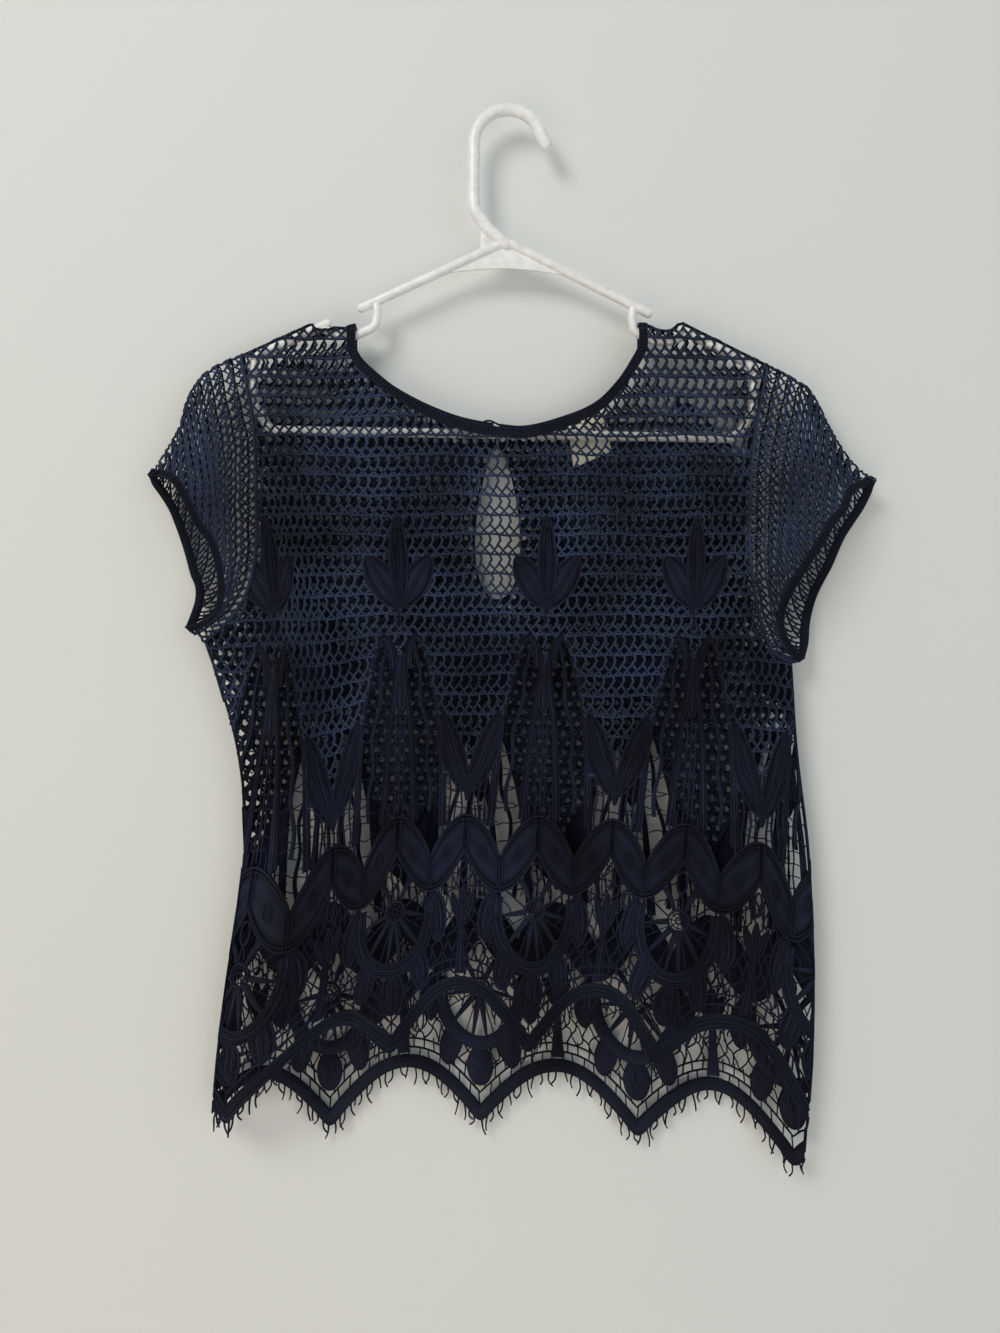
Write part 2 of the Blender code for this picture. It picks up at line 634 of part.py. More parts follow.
def shell(name, points, directions, walls, faces, finish, collection, strands=()):
    """A closed piece of cloth: a sheet of faces, and the same sheet moved outwards. A
    strand of fringe grows from the rim at each edge named in strands."""
    count = len(points)
    verts = list(points)
    verts += [p + d * wall * MM for p, d, wall in zip(points, directions, walls)]
    made = [tuple(i + count for i in face) for face in faces]
    made += [tuple(reversed(face)) for face in faces]
    edges = {(a, b) for face in faces for a, b in zip(face, face[1:] + face[:1])}
    for number, (a, b) in enumerate(sorted(e for e in edges if e[::-1] not in edges)):
        ring = [a, b, b + count, a + count]
        if (a, b) in strands:
            middle = sum((verts[i] for i in ring), Vector()) / 4
            sway = Vector((3 * math.sin(number * 2.4), 0.6 * math.cos(number * 1.3),
                           -FRINGE_LONG + 2 * math.sin(number * 1.7))) * MM
            end = [middle + (verts[i] - middle) * 0.55 + sway for i in ring]
            first = len(verts)
            verts += end
            made += [(ring[k], ring[(k + 1) % 4], first + (k + 1) % 4, first + k)
                     for k in range(4)]
            ring = list(range(first, first + 4))
        if ordered(verts[a]) < ordered(verts[b]):
            made += [(ring[0], ring[1], ring[2]), (ring[0], ring[2], ring[3])]
        else:
            made += [(ring[0], ring[1], ring[3]), (ring[1], ring[2], ring[3])]
    mesh = bpy.data.meshes.new(name)
    mesh.from_pydata(verts, [], made)
    return add_object(name, mesh, finish, collection)


def cloth_object(name, drawing, place, wall, finish, collection, roots=()):
    """A flat drawing hung by its drape and given its wall. Raised points stand out."""
    flat, faces, lifted = drawing
    used = sorted({i for face in faces for i in face})
    index = {old: new for new, old in enumerate(used)}
    corners = [tuple(index[i] for i in (face if place is front else face[::-1]))
               for face in faces]
    walls = [wall + (RELIEF if i in lifted else 0) for i in used]
    found = [place(*flat[i]) for i in used]
    directions = [outward(place, *flat[i]) for i in used]
    at = {tuple(round(c, 2) for c in flat[i]): index[i] for i in used}
    strands = set()
    for a, b in roots:
        pair = tuple(at[tuple(round(c, 2) for c in p)] for p in (a, b))
        strands |= {pair, pair[::-1]}
    return shell(name, found, directions, walls, corners, finish, collection, strands)


def inside_any(points, outline):
    return all(inside(p, outline) for p in points)


def grid_points(outline, step_s, step_h):
    left, right = min(p[0] for p in outline), max(p[0] for p in outline)
    low, high = min(p[1] for p in outline), max(p[1] for p in outline)
    points = []
    rows = int((high - low) / step_h)
    for row in range(1, rows + 1):
        shift = step_s / 2 if row % 2 else 0
        for column in range(int((right - left) / step_s) + 1):
            points.append((left + shift + column * step_s, low + row * step_h))
    return points


def roll_rows(neck, low):
    """Rows of points along the bend over the hanger's arms, which the triangles follow."""
    ends = shoulder_ends(neck)
    rows = []
    for x_from, x_to in ((ends[0], ends[1]), (ends[2], ends[3]), (ends[4], ends[5])):
        xs = even_steps(x_from, x_to)
        rows += [[(x, over_roll(x, low)[k]) for x in xs] for k in (0, 1, 2)]
    return rows


def fold_points(folds, low_h, high_h, step):
    """Points on the crest and flanks of each fold, so that its round shape is kept."""
    points = []
    for s_top, s_hem, half, _, _, end in folds:
        for row in range(int((min(end, high_h) - low_h) / step) + 1):
            h = low_h + row * step
            place = s_hem + (s_top - s_hem) * h / end
            points += [(place + half * share, h) for share in (-0.62, 0, 0.62)]
    return points


def body_panel(name, low, lift, lines, folds, sides, repeats, place, finish, collection,
               keyhole=False):
    outline = panel_outline(low, lift, lines, sides, repeats[2], keyhole)
    holes, loops, raised = [], [], []
    for centre in repeats:
        for cell in repeat_openings(centre):
            clear = all(math.dist(p, q) > 5 for p in cell for q in outline)
            if inside_any(cell, outline) and clear:
                holes.append(cell)
        outlines, tops = repeat_relief(centre)
        for ring in outlines:
            if inside_any(ring, outline) and all(
                    math.dist(p, q) > 4 for p in ring for q in outline):
                loops.append(ring)
        raised += [p for p in tops if inside(p, outline)
                   and all(math.dist(p, q) > 4 for q in outline)]
    free = fold_points(folds, 10, 470, 36) + grid_points(outline, 44, 40)
    rows = roll_rows(neck_line(low, lift, NECK_BAND_WIDE + SEAM), low)
    drawing = triangulated(outline, holes, loops, raised, rows, free, 6.5)
    print(name, "openings", len(holes), "leaves", len(loops), "triangles", len(drawing[1]))
    return cloth_object(name, drawing, place, CLOTH, finish, collection)


def hem_band(name, sides, centre, place, finish, collection):
    """The hem's corded band with its fringe, one closed piece."""
    lower = hem_line(sides, centre, 0, 6)
    total = sum(math.dist(a, b) for a, b in zip(lower, lower[1:]))
    count = int(total / FRINGE_STEP)
    edge, roots = [lower[0]], []
    for i in range(count):
        middle, half = (i + 0.5) / count, FRINGE_WIDE / 2 / total
        root = (along(lower, middle - half), along(lower, middle + half))
        roots.append(root)
        edge += root
    edge.append(lower[-1])
    upper = hem_line(sides, centre, HEM_BAND_WIDE, HEM_STEP)
    drawing = triangulated(edge + upper[::-1])
    print(name, "strands", len(roots))
    return cloth_object(name, drawing, place, BAND, finish, collection, roots)


# ---- Neck band ---------------------------------------------------------------------------
def bend_over(x):
    """Points and directions of the cloth over the hanger at x, from front to back."""
    ahead = [(front(x, h), outward(front, x, h)) for h in over_roll(x, FRONT_LOW)]
    behind = [(back(x, h), outward(back, x, h)) for h in over_roll(x, BACK_LOW)]
    top, out = ahead[3][0].copy(), ahead[3][1].copy()
    top.y = out.y = 0
    return ahead[:3] + [(top, out.normalized())] + behind[2::-1]


def neck_band(finish, collection):
    """One ring of ribbed cloth round the neck, open at the back over the keyhole."""
    centre_x = KEYHOLE[0]
    rings = []
    for inset in (0, NECK_BAND_WIDE / 2, NECK_BAND_WIDE):
        ahead = neck_line(FRONT_LOW, 0, inset)
        behind = neck_line(BACK_LOW, BACK_NECK_LIFT, inset)
        left = [(centre_x - KEYHOLE_SLIT / 2, lookup(centre_x, behind))]
        left += [p for p in reversed(behind) if p[0] < centre_x - 4]
        right = [p for p in reversed(behind) if p[0] > centre_x + 4]
        right.append((centre_x + KEYHOLE_SLIT / 2, lookup(centre_x, behind)))
        ring = [(back(*p), outward(back, *p)) for p in left]
        ring += bend_over(ahead[0][0])[::-1]
        ring += [(front(*p), outward(front, *p)) for p in ahead]
        ring += bend_over(ahead[-1][0])
        ring += [(back(*p), outward(back, *p)) for p in right]
        rings.append(ring)
    return strip("neck_band", rings, BAND, finish, collection)


def strip(name, rings, wall, finish, collection):
    """A strip of cloth through rows of points, each with its outward direction."""
    count = len(rings[0])
    faces = []
    for row in range(len(rings) - 1):
        for i in range(count - 1):
            a = row * count + i
            faces.append((a, a + count, a + count + 1, a + 1))
    points = [p for ring in rings for p, _ in ring]
    directions = [d for ring in rings for _, d in ring]
    return shell(name, points, directions, [wall] * len(points), faces, finish, collection)


# ---- Sleeves --------------------------------------------------------------------------
def in_plane(side, facing, share, u, arm):
    """World x and z of a sleeve point, blended between its four edges."""
    top = LEFT_SLEEVE_TOP if side < 0 else RIGHT_SLEEVE_TOP
    low = LEFT_SLEEVE_LOW if side < 0 else RIGHT_SLEEVE_LOW
    if facing < 0:
        cuff = LEFT_CUFF_FRONT if side < 0 else RIGHT_CUFF_FRONT
    else:
        cuff = LEFT_CUFF_BACK if side < 0 else RIGHT_CUFF_BACK
    edge_top, edge_low, edge_cuff = along(top, u), along(low, u), along(cuff, share)
    found = []
    for k in (0, 1):
        corners = ((1 - u) * top[0][k] + u * cuff[0][k]) * (1 - share) \
            + ((1 - u) * low[0][k] + u * cuff[-1][k]) * share
        found.append((1 - u) * arm[k] + u * edge_cuff[k] + (1 - share) * edge_top[k]
                     + share * edge_low[k] - corners)
    return found


def cuff_depth(share, facing, row):
    """How far the cuff's mouth stands out of the middle plane."""
    bulge = CUFF_FRONT_BULGE if facing < 0 else CUFF_BACK_BULGE
    if row < len(FOLD_TURNS):
        return CUFF_FOLD * math.cos(math.radians(FOLD_TURNS[row]))
    swell = math.sin(math.pi * share) ** 0.8
    return max(SEAM / 2, CUFF_FOLD * (1 - share) + bulge * swell * ease((1 - share) / 0.1))


def sleeve_point(side, row, u):
    """A point of the sleeve's inner face. Rows run from the front's underarm, below 0,
    over the fold at 0, to the back's underarm."""
    facing = -1 if row < 0 else 1
    place, low, lines = (front, FRONT_LOW, FRONT_LINES) if row < 0 else \
        (back, BACK_LOW, BACK_LINES)
    row = abs(row)
    rest = ROWS - len(FOLD_TURNS) + 1
    if row < len(FOLD_TURNS):
        share = FOLD_SHARES[row]
    else:
        share = FOLD_SHARES[-1] + (1 - FOLD_SHARES[-1]) * (row - len(FOLD_TURNS) + 1) / rest
    flat = ARMHOLES[side, place is front][row]
    start = place(*flat)
    if row == 0:
        start.y = 0
    arm = (start.x / MM + side * 1.3 * SEAM, start.z / MM)
    x, z = in_plane(side, facing, share, u, arm)
    out = (1 - u) * abs(start.y) / MM + u * cuff_depth(share, facing, row)
    out += 5 * math.sin(math.pi * u) * math.sin(math.pi * share) ** 0.7
    return Vector((x, facing * out, z)) * MM


def sleeve_and_cuff(side, cloth, band, collection):
    """A cap sleeve and the ribbed band of its cuff, from one set of rings."""
    rings = []
    for column in range(9):
        ring = []
        for row in range(-ROWS, ROWS + 1):
            start, end = sleeve_point(side, row, 0.3), sleeve_point(side, row, 1)
            long = (end - start).length / MM / 0.7
            band_from = 1 - min(0.5, CUFF_WIDE / long)
            last = band_from - 1.8 * SEAM / long
            u = (last * column / 6, band_from, 1.0)[max(0, column - 6)]
            ring.append(sleeve_point(side, row, u))
        rings.append(ring)
    directions = []
    for column, ring in enumerate(rings):
        before, after = rings[max(0, column - 1)], rings[min(8, column + 1)]
        if column in (6, 7):
            before, after = rings[5], rings[8]
        line = []
        for k in range(len(ring)):
            down = ring[min(len(ring) - 1, k + 1)] - ring[max(0, k - 1)]
            line.append((after[k] - before[k]).cross(down).normalized() * side)
        directions.append(line)
    for k in range(-ROWS, ROWS + 1):
        place = front if k < 0 else back
        out = outward(place, *ARMHOLES[side, place is front][abs(k)])
        if k == 0:
            out.y = 0
        directions[0][k + ROWS] = out.normalized()
    rows = [[*zip(ring, line)] for ring, line in zip(rings, directions)]
    if side < 0:
        rows = [row[::-1] for row in rows]
    word = "left" if side < 0 else "right"
    strip("sleeve_" + word, rows[:7], CLOTH, cloth, collection)
    strip("cuff_" + word, rows[7:], BAND, band, collection)


ARMHOLES = {}
for hand in (-1, 1):
    ARMHOLES[hand, True] = armhole_line(hand, FRONT_LOW, FRONT_LINES)
    ARMHOLES[hand, False] = armhole_line(hand, BACK_LOW, BACK_LINES)


# ---- Hanger ------------------------------------------------------------------------------
def rounded(corners, radius, steps):
    """A path through the corners with each inner corner rounded by an arc."""
    path = [corners[0]]
    for before, at, after in zip(corners, corners[1:], corners[2:]):
        a, b, c = Vector(before), Vector(at), Vector(after)
        into, out = (b - a).normalized(), (c - b).normalized()
        bend = into.angle(out)
        cut = min(radius * math.tan(bend / 2), (b - a).length * 0.49, (c - b).length * 0.49)
        start, end = b - into * cut, b + out * cut
        for i in range(steps + 1):
            t = i / steps
            path.append(tuple((1 - t) ** 2 * start + 2 * t * (1 - t) * b + t * t * end))
    return path + [corners[-1]]


def tube(name, path, width, sides_count=8):
    """A closed tube mesh along a path of x and z places, in the plane y = 0."""
    curve = bpy.data.curves.new(name, "CURVE")
    curve.dimensions = "3D"
    curve.bevel_depth = width / 2 * MM
    curve.bevel_resolution = (sides_count - 4) // 2
    curve.use_fill_caps = True
    spline = curve.splines.new("POLY")
    spline.points.add(len(path) - 1)
    for point, (x, z) in zip(spline.points, path):
        point.co = (x * MM, 0, z * MM, 1)
    holder = bpy.data.objects.new(name, curve)
    bpy.context.scene.collection.objects.link(holder)
    bpy.context.view_layer.update()
    graph = bpy.context.evaluated_depsgraph_get()
    mesh = bpy.data.meshes.new_from_object(holder.evaluated_get(graph))
    bpy.data.objects.remove(holder)
    work = bmesh.new()
    work.from_mesh(mesh)
    bmesh.ops.remove_doubles(work, verts=work.verts, dist=0.00002)
    bmesh.ops.recalc_face_normals(work, faces=work.faces)
    work.to_mesh(mesh)
    work.free()
    return mesh


def plate(name, corners, thick):
    """A flat web in the hanger's plane."""
    work = bmesh.new()
    near = [work.verts.new(Vector((x, -thick / 2, z)) * MM) for x, z in corners]
    face = work.faces.new(near)
    made = bmesh.ops.extrude_face_region(work, geom=[face])["geom"]
    bmesh.ops.translate(work, vec=(0, thick * MM, 0),
                        verts=[v for v in made if isinstance(v, bmesh.types.BMVert)])
    bmesh.ops.recalc_face_normals(work, faces=work.faces)
    mesh = bpy.data.meshes.new(name)
    work.to_mesh(mesh)
    work.free()
    return mesh


def tilted(along_bar, down):
    """A place on the hanger, measured from its apex before the tilt."""
    cos, sin = math.cos(HANGER_TILT), math.sin(HANGER_TILT)
    return (APEX[0] + along_bar * cos - down * sin, APEX[1] - along_bar * sin - down * cos)


def on_arm(distance, side, under=0.0):
    cos, sin = math.cos(ARM_SLOPE), math.sin(ARM_SLOPE)
    return tilted(side * (distance * cos - under * sin), distance * sin + under * cos)


def hanger(finish, collection, guides):
    """Hook, two arms with strap notches, bottom bar and webs, joined into one piece."""
    inner = [on_arm(INNER_ARM, -1), tilted(-4, 1.5), tilted(4, 1.5), on_arm(INNER_ARM, 1)]
    outer = [on_arm(OUTER_ARM, -1), on_arm(ARM_END, -1), tilted(-199.5, 133),
             tilted(-186, BAR_DROP), tilted(186, BAR_DROP), tilted(199.5, 133),
             on_arm(ARM_END, 1), on_arm(OUTER_ARM, 1)]
    hook_centre = (1.0, -20.5)
    radius = 27.3
    hook = [(31.5, -21.5)]
    for degrees in range(20, 181, 16):
        turn = math.radians(degrees)
        hook.append((hook_centre[0] + radius * math.cos(turn),
                     NAIL_Z - radius + radius * math.sin(turn)))
    hook += [(-26.4, -33), (-26.4, -64), (-24, -77), (-16, -87), (-5, -96), (-0.8, -101)]
    pieces = [tube("outer", rounded(outer, 13, 3), ARM_WIRE),
              tube("inner", rounded(inner, 12, 2), ARM_WIRE),
              tube("hook", hook, HOOK_WIRE, 8)]
    for side in (-1, 1):
        strap = [on_arm(INNER_ARM - 13, side), on_arm(INNER_ARM - 10, side, 9),
                 on_arm(INNER_ARM - 4, side, STRAP_DIP), on_arm(INNER_ARM + 13, side, STRAP_DIP),
                 on_arm(INNER_ARM + 26, side, 12), on_arm(OUTER_ARM + 6, side, 1)]
        pieces.append(tube("strap", rounded(strap, 9, 2), BAR_WIRE))
    wide, low = 49.0, 26.0
    web = [tilted(-wide, low), tilted(-wide * 0.55, low * 0.94), tilted(0, low * 0.82),
           tilted(wide * 0.55, low * 0.94), tilted(wide, low), tilted(0, 1)]
    pieces.append(plate("web", web, 2.2))
    pieces.append(plate("neck_web", [(-21.5, -106), (-20.5, -88), (-12, -92), (-3, -99)], 2.2))
    body = add_object("hanger", pieces[0], finish, collection)
    for number, mesh in enumerate(pieces[1:]):
        cutter = bpy.data.objects.new(f"hanger_join_{number}", mesh)
        guides.objects.link(cutter)
        cutter.hide_render = True
        cutter.display_type = "WIRE"
        join = body.modifiers.new(f"join_{number}", "BOOLEAN")
        join.operation = "UNION"
        join.solver = "EXACT"
        join.object = cutter
    return body


# ---- Label, button and loop -------------------------------------------------------------
def label(finish, collection):
    """A blank woven label that hangs inside the back of the neck."""
    work = bmesh.new()
    bmesh.ops.create_grid(work, x_segments=4, y_segments=5, size=0.5)
    wide, tall, top = 33.0, 40.0, -232.0
    turn = math.radians(24)
    for vert in work.verts:
        across, down = vert.co.x * wide, (0.5 - vert.co.y) * tall
        x = 63 + across * math.cos(turn) + down * math.sin(turn) * 0.35
        z = top + across * math.sin(turn) - down
        vert.co = Vector((x, 5.0 - 0.3 * math.sin(math.pi * (0.5 - vert.co.y)), z)) * MM
    for face in work.faces:
        if face.normal.y > 0:
            face.normal_flip()
    mesh = bpy.data.meshes.new("label")
    work.to_mesh(mesh)
    work.free()
    obj = add_object("label", mesh, finish, collection)
    shell = obj.modifiers.new("wall", "SOLIDIFY")
    shell.offset = 0
    shell.thickness = 1.0 * MM
    return obj


def button(finish, cloth, collection):
    """The button and its cord loop, outside the back of the neck over the slit."""
    x, z = KEYHOLE[0] - 7.5, NECK[6][1] + BACK_NECK_LIFT - NECK_BAND_WIDE / 2
    s = x
    out = back(s, z - BACK_LOW).y / MM + BAND + SEAM
    work = bmesh.new()
    bmesh.ops.create_cone(work, cap_ends=True, segments=16, radius1=5 * MM,
                          radius2=5.6 * MM, depth=2.6 * MM)
    for vert in work.verts:
        vert.co = Vector((vert.co.x + x * MM, (out + 1.3 + 0.5) * MM - vert.co.z,
                          vert.co.y + z * MM))
    bmesh.ops.recalc_face_normals(work, faces=work.faces)
    mesh = bpy.data.meshes.new("button")
    work.to_mesh(mesh)
    work.free()
    obj = add_object("button", mesh, finish, collection)
    bevel = obj.modifiers.new("edge", "BEVEL")
    bevel.width = 0.6 * MM
    bevel.segments = 1
    bevel.limit_method = "ANGLE"
    path = []
    for degrees in range(60, 301, 24):
        turn = math.radians(degrees)
        path.append((x + 7.2 * math.cos(turn), z + 7.2 * math.sin(turn)))
    path = [(x + 15.5, z + 2.4)] + path + [(x + 15.5, z - 2.4)]
    loop = tube("button_loop", path, 1.6, 6)
    for vert in loop.vertices:
        vert.co.y += (out + 0.8 + 0.3) * MM
    return add_object("button_loop", loop, cloth, collection)


# ---- The whole top -----------------------------------------------------------------------
def main():
    for old in list(bpy.data.objects):
        bpy.data.objects.remove(old, do_unlink=True)
    top = bpy.data.collections.new("crochet_top")
    guides = bpy.data.collections.new("hanger_joins")
    bpy.context.scene.collection.children.link(top)
    bpy.context.scene.collection.children.link(guides)
    lace = material("black_lace", BLACK, 0.85)
    rib = material("black_rib", DARK, 0.9)
    plastic = material("white_plastic", WHITE, 0.32)
    woven = material("cream_label", CREAM, 0.8)
    horn = material("button_black", DARK, 0.3)
    body_panel("front_panel", FRONT_LOW, 0, FRONT_LINES, FRONT_FOLDS, FRONT_SIDES,
               FRONT_REPEATS, front, lace, top)
    body_panel("back_panel", BACK_LOW, BACK_NECK_LIFT, BACK_LINES, BACK_FOLDS, BACK_SIDES,
               BACK_REPEATS, back, lace, top, True)
    hem_band("front_hem", FRONT_SIDES, FRONT_REPEATS[2], front, rib, top)
    hem_band("back_hem", BACK_SIDES, BACK_REPEATS[2], back, rib, top)
    neck_band(rib, top)
    for side in (-1, 1):
        sleeve_and_cuff(side, lace, rib, top)
    label(woven, top)
    button(horn, rib, top)
    hanger(plastic, top, guides)


main()
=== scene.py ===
# %% [markdown]
# # A black lace top on a white hanger
#
# The real object is a short-sleeved top of black cotton lace. Its upper half is an open
# knit, its lower half is a row of worked motifs, and its hem is scalloped and fringed. It
# hangs on a tubular plastic hanger. Every thread here is a small tube. The whole lace is
# drawn flat first, as a lace maker's pricking is, and then hung by one function, so that
# the motifs bend with the folds of the cloth.

# %% Load the frame
import json
import math

import bpy
import numpy as np
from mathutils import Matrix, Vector

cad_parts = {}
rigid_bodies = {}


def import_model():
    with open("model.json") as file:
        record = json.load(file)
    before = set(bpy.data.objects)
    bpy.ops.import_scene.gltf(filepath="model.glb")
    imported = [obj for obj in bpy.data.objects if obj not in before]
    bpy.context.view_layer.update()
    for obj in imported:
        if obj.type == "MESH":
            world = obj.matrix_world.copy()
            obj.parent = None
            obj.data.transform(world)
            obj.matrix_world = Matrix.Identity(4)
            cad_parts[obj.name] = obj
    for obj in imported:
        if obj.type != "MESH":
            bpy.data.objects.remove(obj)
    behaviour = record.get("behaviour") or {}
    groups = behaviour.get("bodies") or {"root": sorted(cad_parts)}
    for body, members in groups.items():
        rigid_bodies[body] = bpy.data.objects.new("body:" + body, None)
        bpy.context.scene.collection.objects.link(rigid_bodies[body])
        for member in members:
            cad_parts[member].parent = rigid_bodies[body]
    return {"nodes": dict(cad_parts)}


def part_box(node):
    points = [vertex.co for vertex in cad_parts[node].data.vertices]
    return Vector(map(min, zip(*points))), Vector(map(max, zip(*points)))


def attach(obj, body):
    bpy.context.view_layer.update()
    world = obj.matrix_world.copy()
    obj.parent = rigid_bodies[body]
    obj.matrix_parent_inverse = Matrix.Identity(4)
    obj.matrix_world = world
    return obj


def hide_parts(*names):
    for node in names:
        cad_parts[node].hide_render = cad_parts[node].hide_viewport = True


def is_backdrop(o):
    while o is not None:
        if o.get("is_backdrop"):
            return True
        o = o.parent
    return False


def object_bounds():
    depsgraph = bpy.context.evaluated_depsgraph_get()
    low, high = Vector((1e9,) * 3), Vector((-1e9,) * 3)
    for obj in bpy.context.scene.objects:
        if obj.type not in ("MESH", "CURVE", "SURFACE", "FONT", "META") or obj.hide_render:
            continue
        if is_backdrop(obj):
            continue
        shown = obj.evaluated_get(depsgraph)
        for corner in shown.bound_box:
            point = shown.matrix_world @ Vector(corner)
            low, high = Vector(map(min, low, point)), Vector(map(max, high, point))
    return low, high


for old in list(bpy.data.objects):
    bpy.data.objects.remove(old, do_unlink=True)
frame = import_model()
bpy.ops.object.select_all(action="DESELECT")
cad_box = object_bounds()
MM = 0.001
print("nodes:", sorted(frame["nodes"]))

# %% [markdown]
# ## Where the cloth hangs
#
# A place on the flat lace has two numbers in millimetres: s runs along the hem, and h is
# the height above the lowest tip of the hem. The tables below say where a few of these
# places hang. They are the ones that the frame's solids were made from, so that the lace
# lies in the solids' walls.

# %% Tables of the drape
SEAM = 0.4
NECK_BAND_WIDE = 7.5
CUFF_WIDE = 7.0
HEM_BAND_WIDE = 9.5
REPEAT = 122.0
SCALLOP = 44.0
POINTED = 0.06
KNOB = (13.0, 4.0)

ARM_WIRE = 7.5
HANGER_TILT = math.radians(1.0)
ARM_SLOPE = math.radians(25.55)
APEX = (-0.8, -99.2)
ROLL = ARM_WIRE / 2 + 0.5
ROLL_RISE = ROLL / math.cos(ARM_SLOPE) + 0.2

FRONT_LOW = -737.0
BACK_LOW = -811.0
FADE = 380.0
FRONT_DEPTHS = (14.0, 10.0)
BACK_DEPTHS = (11.0, 8.0)
LEVELS = (480, 300, 160, 0)

# (s, x at h 480, x at h 300, x at h 160, x at the hem, droop)
FRONT_LINES = (
    (-275, -268, -250, -258, -276, 68),
    (-214, -214, -182, -202, -221, 61),
    (-183, -184, -161, -166, -190, 50),
    (-153, -154, -141, -138, -160, 36),
    (-122, -122, -112, -112, -124, 15),
    (-92, -92, -84, -86, -91, 1),
    (-31, -31, -27, -33, -38, -2),
    (30, 30, 30, 24, 16, 0),
    (91, 91, 89, 82, 62, 4),
    (152, 152, 147, 139, 115, 9),
    (213, 213, 200, 197, 171, 30),
    (282, 282, 264, 262, 246, 66),
)
BACK_LINES = (
    (-290, -290, -282, -275, -268, 16),
    (-205, -205, -203, -202, -204, 6),
    (-144, -144, -144, -144, -144, 0),
    (-22, -22, -22, -22, -22, -4),
    (100, 100, 101, 103, 106, 8),
    (222, 222, 225, 228, 230, 28),
    (300, 300, 300, 300, 296, 44),
)
# (place at the top, at the hem, half width, depth at the hem, depth at h 300, end height)
FRONT_FOLDS = (
    (-198, -190, 46, 22, 13, 470),
    (-138, -128, 28, -6, -4, 440),
    (-92, -92, 34, 8, 0, 230),
    (30, 30, 34, 8, 0, 240),
    (118, 120, 34, -4, 0, 260),
    (152, 150, 34, 9, 0, 240),
    (203, 208, 34, 8, 6, 430),
)
BACK_FOLDS = (
    (-174, -174, 40, 4, 0, 240),
    (-60, -50, 44, 5, 2, 330),
    (60, 66, 40, 4, 0, 260),
    (160, 168, 40, 5, 2, 320),
)
LEFT_SIDE = ((0, -229), (184, -227), (250, -240))
RIGHT_SIDE = ((0, 277), (184, 259), (250, 248))
LEFT_ARMHOLE = ((-209.6, -204), (-204, -225), (-199, -255), (-197, -300), (-196.5, -340),
                (-201, -370), (-213, -395), (-227, -409), (-241, -419.5))
RIGHT_ARMHOLE = ((205.5, -211), (199, -235), (194, -265), (191, -305), (190.5, -345),
                 (193.5, -378), (199, -405), (206, -422), (215, -432.5), (227, -435))
NECK = ((-120.5, -184), (-115, -194), (-102, -206.5), (-86, -219), (-62, -233),
        (-35, -244), (-5, -249.5), (15, -250.5), (42, -243), (70, -229.5),
        (88, -211), (99, -194), (105, -183))
BACK_NECK_LIFT = 7.0
LEFT_ROLL = ((-157, -170.5), (-137, -173), (-129, -173.3), (-121, -171.5), (-112, -171.5))
RIGHT_ROLL = ((100, -171), (111, -171), (121, -175), (131, -175), (136.5, -171),
              (139, -169), (142, -170.5))
STUB_NOTCH = (-154.5, -137.0)
KEYHOLE = (-7.5, -385.0, 125.0, 19.5)
KEYHOLE_SLIT = 1.4
FRONT_REPEATS = (-214, -92, 30, 152, 274)
BACK_REPEATS = (-266, -144, -22, 100, 222)


# %% Curves through the tables
def lookup(x, table, column=1):
    """A smooth curve through a table's rows, straight on past its ends."""
    rows = np.array([(row[0], row[column]) for row in table], float)
    if rows[0, 0] > rows[-1, 0]:
        rows = rows[::-1]
    x = np.asarray(x, float)
    slopes = np.diff(rows[:, 1]) / np.diff(rows[:, 0])
    between = (rows[2:, 1] - rows[:-2, 1]) / (rows[2:, 0] - rows[:-2, 0])
    tangents = np.concatenate([slopes[:1], between, slopes[-1:]])
    i = np.clip(np.searchsorted(rows[:, 0], x, side="right") - 1, 0, len(rows) - 2)
    x0, y0, y1 = rows[i, 0], rows[i, 1], rows[i + 1, 1]
    run = rows[i + 1, 0] - x0
    t = (x - x0) / run
    curve = ((2 * t**3 - 3 * t**2 + 1) * y0 + (t**3 - 2 * t**2 + t) * run * tangents[i]
             + (3 * t**2 - 2 * t**3) * y1 + (t**3 - t**2) * run * tangents[i + 1])
    past = (x <= rows[0, 0]) | (x >= rows[-1, 0])
    return np.where(past, y0 + slopes[i] * (x - x0), curve)


def ease(t):
    t = np.clip(t, 0, 1)
    return t * t * (3 - 2 * t)


def along(points, t):
    """Points at the shares t of the smooth curve through these points."""
    points = np.asarray(points, float)
    steps = np.linalg.norm(np.diff(points, axis=0), axis=1)
    reach = np.concatenate([[0], np.cumsum(steps)])
    place = np.asarray(t, float) * reach[-1]
    return np.stack([lookup(place, np.column_stack([reach, points[:, k]]))
                     for k in range(points.shape[1])], axis=-1)


def spaced(points, step):
    """The curve through the points, cut into equal steps of about this length."""
    steps = np.linalg.norm(np.diff(np.asarray(points, float), axis=0), axis=1)
    count = max(1, round(steps.sum() / step))
    return along(points, np.linspace(0, 1, count + 1))


def offset_line(points, by):
    """The line moved sideways, to the right of its direction. by is a number, or one for
    each point."""
    points = np.asarray(points, float)
    aim = np.gradient(points, axis=0)
    aim /= np.linalg.norm(aim, axis=1)[:, None]
    right = np.column_stack([aim[:, 1], -aim[:, 0]])
    return points + (by if np.ndim(by) == 0 else by[:, None]) * right


